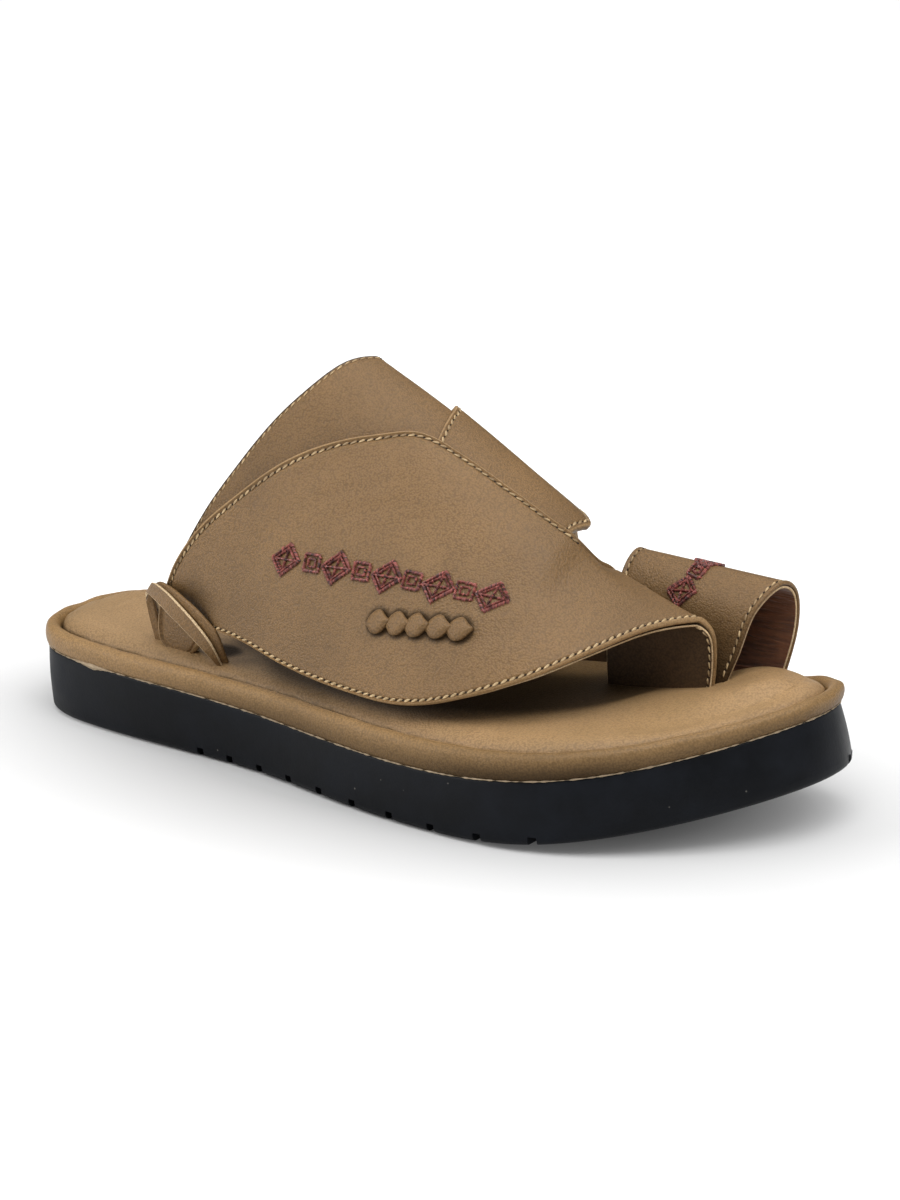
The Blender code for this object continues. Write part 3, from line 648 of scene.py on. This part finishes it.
def over_last(table, raised):
    """Surface over the last between the stations of a table, at a height raised(row) over it.

    Row is the place around the last, and part runs from the rear to the front station."""
    def at(row, part, lift):
        rear, front = [smooth(table, k, row) for k in (1, 2)]
        return off_last(rear + (front - rear) * part, row + 0 * part, raised(row) + lift, False)
    return at


def panel_painted_shade(points):
    """Painted shade on the panel beside the flap, gone towards the ridge."""
    return 0.22 * (1 - ease(points[..., 1], -18, 4))


panel_at = over_last(PANEL, lambda row: 0.0)
rows = np.linspace(PANEL[0][0], 2.0, 150)
panel = strap("instep_panel", panel_at, rows, 2.4, 0.0, [upper_leather, painted_edge, lining_leather],
              [(0, PANEL_STITCH_INSET, 0.25)], columns=60, soil=panel_painted_shade)
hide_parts("upper")
rows = np.linspace(0.25, 1.97, 400)
panel_thread = sew("instep_panel_stitches", panel_at, rows, [0], PANEL_STITCH_INSET, -0.28, 0.7)

# Cross strap: a second band of the same leather, sewn over the front half of the panel and pared thin
# where the side flap covers it. Its cut edges are lighter: partly rubbed, partly a painted highlight on
# their rounded rims.
STITCH_INSET = 1.9
STRAP_RAISE = 2.2
# places around the last between which the strap, and the flap on it, rises to its full height
STRAP_RISE = (0.50, 0.74)
# around, rear station, front station
STRAP = (
    (0.50, 160, 203), (0.66, 158.8, 203.8), (0.82, 157.2, 203.6), (0.93, 155.4, 203.4), (1.00, 154, 203.9),
    (1.06, 152.4, 203.9), (1.20, 149, 197), (1.50, 141, 190), (1.75, 135.5, 196), (2.00, 130, 205),
)
highlit_rubbed_edge = grain_leather("rubbed leather edge, painted highlight", "#5E4930", "#8E714C", "#9E8059", 0.6, 0.5, 0.42)
strap_at = over_last(STRAP, lambda row: -0.2 + (STRAP_RAISE + 0.2) * ease(row, *STRAP_RISE))
rows = np.linspace(STRAP[0][0], 2.0, 130)
cross = strap("cross_strap", strap_at, rows, 2.6, 0.0, [upper_leather, highlit_rubbed_edge, lining_leather],
              [(0, STITCH_INSET, 0.30), (1, STITCH_INSET, 0.30)], columns=46)
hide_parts("upper")
rows = np.linspace(0.6, 1.97, 300)
strap_thread = sew("cross_strap_stitches", strap_at, rows, [0, 1], STITCH_INSET, -0.28)

# Side flap: the big outer panel, leather over a second leather, sewn around both long edges. Its tail
# tucks under the ear, it sweeps over the ridge, and its narrow end comes down between the toes.
FLAP_RAISE = 2.4
# lower station, lower around, upper station, upper around, raise
FLAP = (
    (76.5, 0.010, 65, 0.010, -4.4), (79, 0.028, 61.8, 0.032, -4), (81, 0.056, 61.6, 0.085, -3.6),
    (84.6, 0.076, 64.8, 0.135, -2.5), (93.1, 0.084, 71.4, 0.200, 0.9), (107.7, 0.083, 81, 0.280, 2.2),
    (127.6, 0.065, 95.5, 0.380, 2.4), (147.1, 0.053, 114, 0.518, 2.4), (166, 0.052, 136, 0.672, 2.4),
    (180.7, 0.072, 153, 0.785, 2.4), (193.2, 0.114, 169, 0.820, 2.4), (205.8, 0.185, 186, 0.840, 2.4),
    (217.7, 0.300, 200.7, 0.859, 2.4), (228.7, 0.482, 207.2, 0.908, 2.4), (237.6, 0.712, 212, 1.060, 2.4),
    (245.8, 0.985, 214.5, 1.220, 2.4), (249.8, 1.257, 214, 1.420, 2.4), (250, 1.620, 210.5, 1.700, 2.4),
    (248.5, 2.000, 210.6, 2.000, 2.4),
)
# Dip of the flap in front of the strap: station, depth at the ridge
FLAP_DIP = (
    (203.5, 0), (205, 3.2), (206.5, 4.8), (208, 5.1), (210, 5.1), (212, 5.1), (216, 3.2), (220, 2),
    (226, 0.8), (234, 0),
)
# Faint creases on the flap: station and around at both ends, half width and depth
FLAP_CREASES = (
    (117, 0.47, 136, 0.60, 3, 0.22), (124, 0.44, 152, 0.61, 2.4, 0.20), (136, 0.45, 163, 0.60, 2.6, 0.22),
    (150, 0.47, 170, 0.60, 2.2, 0.16), (104, 0.24, 116, 0.40, 4, 0.20), (196, 0.32, 214, 0.52, 5, 0.28),
)
# millimetres along the last to one unit of around, for the directions of the creases
AROUND_MM = 100.0
# station and around of each leaf of the woven accent, around which shadow is painted on the flap
LEAVES = ((160.3, 0.2610), (167.6, 0.2795), (174.4, 0.2975), (181.7, 0.3190), (188.6, 0.3370))
# station, across and height of the middle of the painted shadow beside the keeper ear
TAIL_SHADOW = (80.0, -30.0, 49.0)


def climb(station, around):
    """How far the flap is carried up by the cross strap under it."""
    over = ease(station, 140, 153) * (1 - ease(station, 203, 211))
    return STRAP_RAISE * over * ease(around, *STRAP_RISE)


def flap_place(row, part):
    """Station, place around the last and raise of a point on the flap."""
    low_s, low_a, high_s, high_a, raised = [smooth(numbered(FLAP), k, row) for k in range(1, 6)]
    return low_s + (high_s - low_s) * part, low_a + (high_a - low_a) * part, raised + 0 * part


def flap_at(row, part, lift):
    """Point over the flap: row runs from the tail to the toe post, part from lower to upper edge."""
    station, around, raised = flap_place(row, part)
    points = off_last(station, around, raised + climb(station, around) + lift, True)
    points[..., 2] -= smooth(FLAP_DIP, 1, station) * ease(around, 0.85, 1) * (1 - ease(around, 1.1, 1.8))
    return points


def flap_relief(row, part):
    """Soft troughs along the listed creases, each with a low ridge on both sides."""
    station, around = flap_place(row, part)[:2]
    total = np.zeros_like(station)
    for s0, a0, s1, a1, half, deep in FLAP_CREASES:
        run_s, run_a = s1 - s0, AROUND_MM * (a1 - a0)
        off_s, off_a = station - s0, AROUND_MM * (around - a0)
        length = np.hypot(run_s, run_a)
        along = (off_s * run_s + off_a * run_a) / length ** 2
        away = (off_s * run_a - off_a * run_s) / length / half
        fade = ease(along, -0.2, 0.3) * (1 - ease(along, 0.7, 1.2))
        total += deep * (away ** 2 - 1) * np.exp(-away ** 2) * fade
    return total


def on_flap(station, around, lift):
    """Point that stands lift over the flap's face."""
    return off_last(station, around, FLAP_RAISE + climb(station, around) + lift, True)


def flap_painted_shadow(points):
    """Painted shadow around the leaves, gone 5.6 mm from a leaf's middle, and on the tail beside the keeper
    ear.
    """
    middle = on_flap(*np.array(LEAVES).T, 0.0)
    away = np.linalg.norm(points[..., None, :] - middle, axis=-1).min(-1)
    tail = np.linalg.norm(points - TAIL_SHADOW, axis=-1)
    return np.maximum(0.8 * (1 - ease(away, 4.1, 5.6)), 0.55 * (1 - ease(tail, 3, 14)))


def cut_down(at, start, keep):
    """The same surface from a start over a kept part of its width, for a layer that is cut narrower."""
    return lambda row, part, lift: at(row, start + keep * part, lift)


def flap_back_at(row, part, lift):
    """Point on the lining side of the flap, with the lift turned toward the foot."""
    return flap_at(row, part, -3.0 - lift)


rows = np.linspace(0, len(FLAP) - 1, 240)
flap = strap("side_flap", flap_at, rows, 1.8, 0.0, [upper_leather, highlit_rubbed_edge, lining_leather],
             [(0, STITCH_INSET, 0.58), (1, STITCH_INSET, 0.50)], columns=80, edge=0.9, relief=flap_relief,
             soil=flap_painted_shadow)
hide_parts("upper")
# Raw cut edge: the pale, matt core of the leather.
raw_edge = grain_leather("raw cut leather edge", "#6E5438", "#B89C76", "#D6C09C", 0.5, 0.6, 0.75)
flap_lining = strap("side_flap_lining", cut_down(flap_at, 0.006, 0.988), rows, 0.7, -2.3,
                    [lining_leather, raw_edge, lining_leather], columns=60, edge=0.35)
low = np.linspace(3.35, len(FLAP) - 1.03, 900)
high = np.linspace(2.2, 12.7, 700)
back = np.linspace(7.0, len(FLAP) - 1.05, 700)
# The lower row's threads are painted lighter, a painted highlight where they catch the light.
for seam in (("side_flap_low_stitches", flap_at, low, [0], STITCH_INSET, -0.30, 0.95, 0.5),
             ("side_flap_top_stitches", flap_at, high, [1], STITCH_INSET, -0.30, 0.85),
             ("side_flap_back_stitches", flap_back_at, back, [0], 1.3, 0.0, 0.7)):
    flap_thread = sew(*seam)

# Woven accent: a leather lace drawn through slits in the flap, so that five puffed leaves stand out in
# a row, each tucked under the one before it.
LEAF_SIDES = 48
# turn in degrees and reach in mm of a leaf's outline
LEAF = (
    (-180, 4.05), (-167, 4.55), (-150, 4), (-125, 4), (-101, 3.95), (-70, 3.75), (-45, 3.65), (-20, 3.9),
    (-4, 4.5), (7, 5), (20, 4.2), (38, 3.65), (60, 3.75), (78, 4), (100, 3.75), (125, 3.5), (150, 3.6),
    (180, 4.05),
)


def patch(surface, u, v, toward):
    """Flat measure around a point of a surface: turns local along, up and lift in mm into points.

    The along direction is the one toward a second place (u, v); local steps are solved from the
    surface's two tangents."""
    du, dv = 0.25, 0.002
    tangent_u = (surface(u + du, v, 0.0) - surface(u - du, v, 0.0)) / (2 * du)
    tangent_v = (surface(u, v + dv, 0.0) - surface(u, v - dv, 0.0)) / (2 * dv)
    tangent = np.stack([tangent_u, tangent_v], -1)
    along = unit(tangent @ np.array([toward[0] - u, toward[1] - v]))
    up = np.cross(unit(np.cross(tangent_u, tangent_v)), along)
    back = np.linalg.pinv(tangent)
    to_u, to_v = back @ along, back @ up

    def local(x, y, lift):
        return surface(u + x * to_u[0] + y * to_v[0], v + x * to_u[1] + y * to_v[1], lift)
    return local


def patches(surface, places):
    """Patches at places in a row: each is turned to the next one, and the last straight on."""
    places = np.array(places)
    ahead = np.vstack([places[1:], 2 * places[-1] - places[-2]])
    return [patch(surface, *spot, on) for spot, on in zip(places, ahead)]


turn = np.linspace(-180, 180, LEAF_SIDES, endpoint=False)
reach = smooth(LEAF, 1, turn)[None, :]
swell = np.sin(np.linspace(0, np.pi / 2, 14))
spread = np.concatenate([swell, [0.985, 0.93, 0.84]])[:, None]
dome = np.concatenate([1.0 + 1.5 * (1 - swell ** 3.0) ** 0.6, [0.5, 0.0, -0.9]])[:, None]
# Painted shade on the undercut rim of each leaf.
soil = np.concatenate([np.zeros(13), [0.15, 0.7, 1.0, 1.0]])[:, None] + 0 * reach
x = spread * reach * np.cos(np.radians(turn))
y = spread * reach * np.sin(np.radians(turn))
rise = dome + 0.14 * x * (dome > 0.5)
points = np.stack([local(x, y, rise) for local in patches(on_flap, LEAVES)])
i = np.arange(LEAF_SIDES // 2 - 1)
base = np.stack([i, i + 1, LEAF_SIDES - 2 - i, LEAF_SIDES - 1 - i], -1) + x.size - LEAF_SIDES
quads = np.vstack([grid_faces(*x.shape), base])
leaves = piece("woven_leaves", points, repeated(quads, x.size, len(LEAVES)), [upper_leather],
               soil=np.tile(soil, (len(LEAVES), 1)))
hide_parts("woven_accent")

# Embroidery: a traditional row of diamonds and small squares in burgundy thread, each line laid as
# short slanting threads side by side.
BURGUNDY_PITCH = 0.50
# rings along a laid thread and points around it
YARN_RINGS, YARN_SIDES = 5, 5
# station and around of the diamonds, and of the squares between them
DIAMONDS = ((119.7, 0.301), (139.9, 0.337), (159.1, 0.377), (177.4, 0.425), (194.7, 0.478))
SQUARES = ((130.3, 0.321), (149.5, 0.357), (168.3, 0.402), (186.0, 0.452))
# half width, half height and thread width of the outer and inner lines of a diamond and of a square
DIAMOND = ((5.5, 5.3, 1.0), (4.0, 3.8, 0.7))
SQUARE = ((2.9, 2.7, 0.95), (1.4, 1.25, 0.7))
# ends of the cross in a diamond
CROSS = ((4.8, 0.0), (1.1, 4.6))
# Burgundy rayon: glossy twisted yarn, each laid thread a little lighter or darker.
yarn = two_tone("burgundy rayon thread", "#2E0E0C", "#934E45", 0.38, 1.5, 0.25, 2, (0.4, 0.06), shade=True)


def satin_line(start, stop, wide, rng):
    """Threads laid slanting across a line from start to stop: points (thread, ring, side, xyz) in mm."""
    start, stop = np.array(start, float), np.array(stop, float)
    length = np.linalg.norm(stop - start)
    count = max(2, int(length / BURGUNDY_PITCH))
    along = (stop - start) / length
    lean = unit(np.array([along[0] * 0.62 - along[1], along[1] * 0.62 + along[0]]))
    middle = start + along * ((np.arange(count) + 0.5) / count * length)[:, None]
    half = 0.62 * wide * (1 + 0.22 * rng.standard_normal(count))
    tilt = 0.12 * rng.standard_normal(count)
    lean = np.stack([lean[0] - tilt * lean[1], lean[1] + tilt * lean[0]], -1)
    side = np.stack([-lean[:, 1], lean[:, 0]], -1)
    at = np.linspace(-1, 1, YARN_RINGS)[None, :, None]
    turn = turns(YARN_SIDES)
    thick = 0.29 * np.sqrt(1 - 0.7 * at ** 4)
    run = half[:, None, None] * at
    off = thick * np.cos(turn)
    middle, lean, side = [way[:, None, None] for way in (middle, lean, side)]
    flat = middle + lean * run[..., None] + side * off[..., None]
    z = 0.22 + 0.46 * (1 - at ** 2) + thick * np.sin(turn) - 0.25 * at ** 4
    return joined(flat, z + 0 * flat[..., 0])


def motif(turned, scale, rng):
    """Threads of one motif: a leaning double diamond with a cross in it, or a double square."""
    lines = []
    for x, y, wide in DIAMOND if turned else SQUARE:
        x, y = x * scale, y * scale
        corner = [(-x, -y), (-x, y), (x, y), (x, -y)]
        if turned:
            corner = [(-x, 0.0), (0.24 * y, y), (x, 0.0), (-0.24 * y, -y)]
        lines += [(a, b, wide) for a, b in zip(corner, corner[1:] + corner[:1])]
    if turned:
        lines += [((-x * scale, -y * scale), (x * scale, y * scale), 0.75) for x, y in CROSS]
    return np.concatenate([satin_line(*line, rng) for line in lines])


def embroider(name, motifs):
    """One mesh of all threads: motifs are pairs of a patch and its threads in local mm."""
    rng = np.random.default_rng(5)
    each = YARN_RINGS * YARN_SIDES
    points = np.concatenate([local(*np.moveaxis(laid, -1, 0)) for local, laid in motifs])
    faces = repeated(grid_faces(YARN_RINGS, YARN_SIDES), each, len(points))
    return piece(name, points, faces, [yarn], shade=np.repeat(rng.random(len(points)), each))


rng = np.random.default_rng(3)
motifs = [(local, motif(True, 1.0, rng)) for local in patches(on_flap, DIAMONDS)]
for spot, ahead in zip(SQUARES, DIAMONDS[1:]):
    motifs.append((patch(on_flap, *spot, ahead), motif(False, 1.0, rng)))
flap_motifs = embroider("side_flap_embroidery", motifs)

# Toe loop: a wide band that arches over the big toe, leather outside and brown suede inside, sewn along
# both edges, with both feet drawn through the pad.
# rear station, across, height, front station, across, height
TOE_LOOP = (
    (213, 21.6, 32, 250.5, 21.6, 36), (211.5, 23, 49.5, 255, 23.4, 48.5),
    (209.6, 26.8, 66.4, 259.2, 26.6, 63), (209.5, 36.5, 74, 264, 35.5, 71),
    (210, 45.5, 68.5, 265.5, 43.6, 66.5), (211.5, 48.8, 53.5, 264.5, 46.4, 53.5),
    (213, 47.8, 32, 261, 44.2, 36),
)
# row in tenths and part of the width of each motif, and whether it is a diamond
TOE_MOTIFS = (
    (20.5, 0.46, True), (26.8, 0.48, False), (32.4, 0.48, True), (38.6, 0.48, False), (44.6, 0.48, True),
)


def band_at(table, turned):
    """Surface of a band between the two edges of a table, lifted along its outward normal.

    It goes no deeper than the slots in the pad that its feet stand in."""
    rows = numbered(table)

    def flat(row, part):
        edges = [smooth(rows, k, row) for k in range(1, 7)]
        first, second = np.stack(edges[:3], -1), np.stack(edges[3:], -1)
        return first + (second - first) * np.asarray(part)[..., None]

    def at(row, part, lift):
        row, part, lift = np.broadcast_arrays(np.asarray(row, float), part, lift)
        along = flat(np.minimum(row + 0.03, len(table) - 1), part) - flat(np.maximum(row - 0.03, 0), part)
        across = flat(row, part + 0.02) - flat(row, part - 0.02)
        points = flat(row, part) + turned * unit(np.cross(across, along)) * lift[..., None]
        points[..., 2] = np.maximum(points[..., 2], pad_top(points[..., 0], points[..., 1]) - FOOT_SINK)
        return points
    return at


# Brown suede: matt split leather, crossed by fine wrinkles about 2 mm apart that run along the toe.
suede, tree, shader, place = new_material("brown suede lining", 1.4)
nap = add(tree, "TexNoise", "Fac", {"Vector": place, "Scale": 1 / 0.0035, "Detail": 5, "Roughness": 0.65})
drawn = add(tree, "Mapping", 0, {"Vector": place, "Scale": (0.10, 1.0, 1.0)})
wrinkle = add(tree, "TexNoise", "Fac", {"Vector": drawn, "Scale": 1 / 0.0012, "Detail": 3,
                                        "Distortion": 0.4})
streak = add(tree, "MapRange", 0, {"Value": wrinkle, "From Min": 0.30, "From Max": 0.60})
tone = add(tree, "Mix", 2, {0: nap, 6: linear("#4F2A16"), 7: linear("#7E4F2F")}, data_type="RGBA")
paint = add(tree, "Mix", 2, {0: streak, 6: linear("#4A2C1B"), 7: tone}, data_type="RGBA")
bump = add(tree, "Bump", 0, {"Height": wrinkle, "Strength": 1.0, "Distance": 0.0010})
feed(shader, {"Base Color": paint, "Roughness": 0.85, "Sheen Weight": 0.3, "Normal": bump})

toe_at = band_at(TOE_LOOP, 1.0)


def loop_painted_shade(points):
    """Painted shade in the slit beside the post: strongest at the pad, gone near the top of the loop."""
    return 0.82 * (1 - ease(points[..., 2], 36, 71)) * (1 - ease(points[..., 1], 26, 32))


def toe_face(row, part, lift):
    """Toe loop with its row counted in tenths, so that both tangents are near in size."""
    return toe_at(row / 10.0, part, lift)


rows = np.linspace(0, len(TOE_LOOP) - 1, 150)
loop_outer = strap("toe_loop_leather", toe_at, rows, 1.3, 0.0, [upper_leather, upper_leather, suede],
                   [(0, STITCH_INSET, 0.30), (1, STITCH_INSET, 0.30)], columns=46, edge=0.8, soil=loop_painted_shade)
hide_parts("toe_loop")
loop_lining = strap("toe_loop_suede", cut_down(toe_at, 0.008, 0.986), rows, 0.8, -1.5,
                    [suede, raw_edge, suede], columns=40, edge=0.3)
dense = np.linspace(0.4, 5.6, 500)
loop_thread = sew("toe_loop_stitches", toe_at, dense, [0, 1], STITCH_INSET, -0.27, 0.75)
motifs = []
for row, part, turned in TOE_MOTIFS:
    motifs.append((patch(toe_face, row, part, (row + 4.0, part)), motif(turned, 0.92, rng)))
loop_motifs = embroider("toe_loop_embroidery", motifs)

# Keeper ear: a folded strap that arches over the tail of the flap on the little-toe side. Two layers
# are cemented together, so that the raw edge of the front one shows along the upper third.
# upper station, across, height, lower station, across, height
SIDE_EAR = (
    (91.8, -28.5, 29.9, 89.1, -28.3, 29.1), (92.3, -33.6, 40.5, 86.4, -33.4, 35.9),
    (87.4, -35.2, 47, 79.7, -34.8, 42.2), (79.5, -35, 52.2, 72.4, -34.2, 46.7),
    (70, -32, 55.1, 64.6, -31, 49.2), (60.1, -26.8, 54.5, 56.1, -25.8, 49.5),
    (59.3, -23, 46.9, 55.1, -22.4, 43.1), (61.8, -21, 32.8, 57.2, -20.6, 32),
)
ear_at = band_at(SIDE_EAR, -1.0)


def ear_front_at(row, part, lift):
    """Front layer of the ear: from the raw edge, which climbs toward the top, down to the lower edge."""
    start = 0.5 - 0.072 * row
    return ear_at(row, start + (1 - start) * part, lift)


rows = np.linspace(0, len(SIDE_EAR) - 1, 110)
ear_back = strap("ear_rear_layer", cut_down(ear_at, 0.0, 0.80), rows, 1.4, -1.4, [upper_leather] * 3,
                 columns=14, edge=0.6)
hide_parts("side_ear")
ear_front = strap("ear_front_layer", ear_front_at, rows, 1.0, 0.1,
                  [upper_leather, raw_edge, lining_leather], columns=14, edge=0.3)

# Floor: plain white paper under the sandal, with painted light: it glows, from none near the sandal to full
# away from it.
# It lies just under the sole, and the glow starts and is full at two distances from the middle, in m.
HALF_SHEET = 6.0
SHEET_HEIGHT = -0.0002
GLOW_FROM, GLOW_FULL = 0.052, 0.17
paper, tree, shader, place = new_material("white paper floor", 1.4)
fleck = add(tree, "TexNoise", "Fac", {"Vector": place, "Scale": 3.0})
tone = add(tree, "Mix", 2, {0: fleck, 6: linear("#ABABAB"), 7: linear("#AEAEAE")}, data_type="RGBA")
plan = add(tree, "VectorMath", 0, {0: place, 1: (0.6, 1.0, 1.0)}, operation="MULTIPLY")
away = add(tree, "VectorMath", "Value", {0: plan}, operation="LENGTH")
glow = add(tree, "MapRange", 0, {"Value": away, "From Min": GLOW_FROM, "From Max": GLOW_FULL,
                                 "To Max": 0.75})
feed(shader, {"Base Color": tone, "Roughness": 0.9, "Emission Color": (1.0,) * 4,
              "Emission Strength": glow})
ground = bpy.data.meshes.new("paper_floor")
corners = [(x * HALF_SHEET, y * HALF_SHEET, SHEET_HEIGHT) for x, y in ((-1, -1), (1, -1), (1, 1), (-1, 1))]
ground.from_pydata(corners, [], [(0, 1, 2, 3)])
ground.materials.append(paper)
floor_sheet = bpy.data.objects.new("paper_floor", ground)
bpy.context.scene.collection.objects.link(floor_sheet)

# Studio: dim white surroundings and four soft lights, a very broad one overhead, one above the little-toe
# side, one from the heel and a weak one at the toe. Each is given its place, aim, size in m and power in W.
scene = bpy.context.scene
scene.view_settings.view_transform = "Standard"
world = bpy.data.worlds.new("white studio")
scene.world = world
world.use_nodes = True
feed(world.node_tree.nodes["Background"], {"Color": (1.0,) * 4, "Strength": 0.08})
for name, spot, aim, size, power in (
        ("overhead softbox", (-0.5, 0.55, 2.4), (-0.5, 0.5501, 0.0), 6.0, 97.0),
        ("top softbox", (0.45, -0.55, 1.65), (0.05, 0.0, 0.05), 1.2, 23.0),
        ("side softbox", (-1.55, -1.35, 0.95), (0.0, 0.0, 0.05), 1.2, 27.0),
        ("toe softbox", (1.25, -0.1, 1.15), (0.1, 0.0, 0.05), 0.9, 9.0)):
    lamp = bpy.data.lights.new(name, "AREA")
    lamp.size = size
    lamp.energy = power
    stand = bpy.data.objects.new(name, lamp)
    reach = np.array(aim) - np.array(spot)
    turn_z = np.arctan2(reach[1], reach[0]) - np.pi / 2
    turn_x = np.arctan2(reach[2], np.hypot(reach[0], reach[1])) + np.pi / 2
    stand.location = spot
    stand.rotation_euler = (turn_x, 0.0, turn_z)
    scene.collection.objects.link(stand)

# Camera: at the front of the little-toe side, a little above the sandal.
eye = bpy.data.cameras.new("camera")
eye.sensor_fit = "VERTICAL"
eye.sensor_height = 36.0
eye.lens = 97.68
camera = bpy.data.objects.new("camera", eye)
camera.location = (0.58167, -0.84145, 0.3417)
camera.rotation_euler = (np.radians(74.356), 0.0, np.radians(33.941))
scene.collection.objects.link(camera)
scene.camera = camera
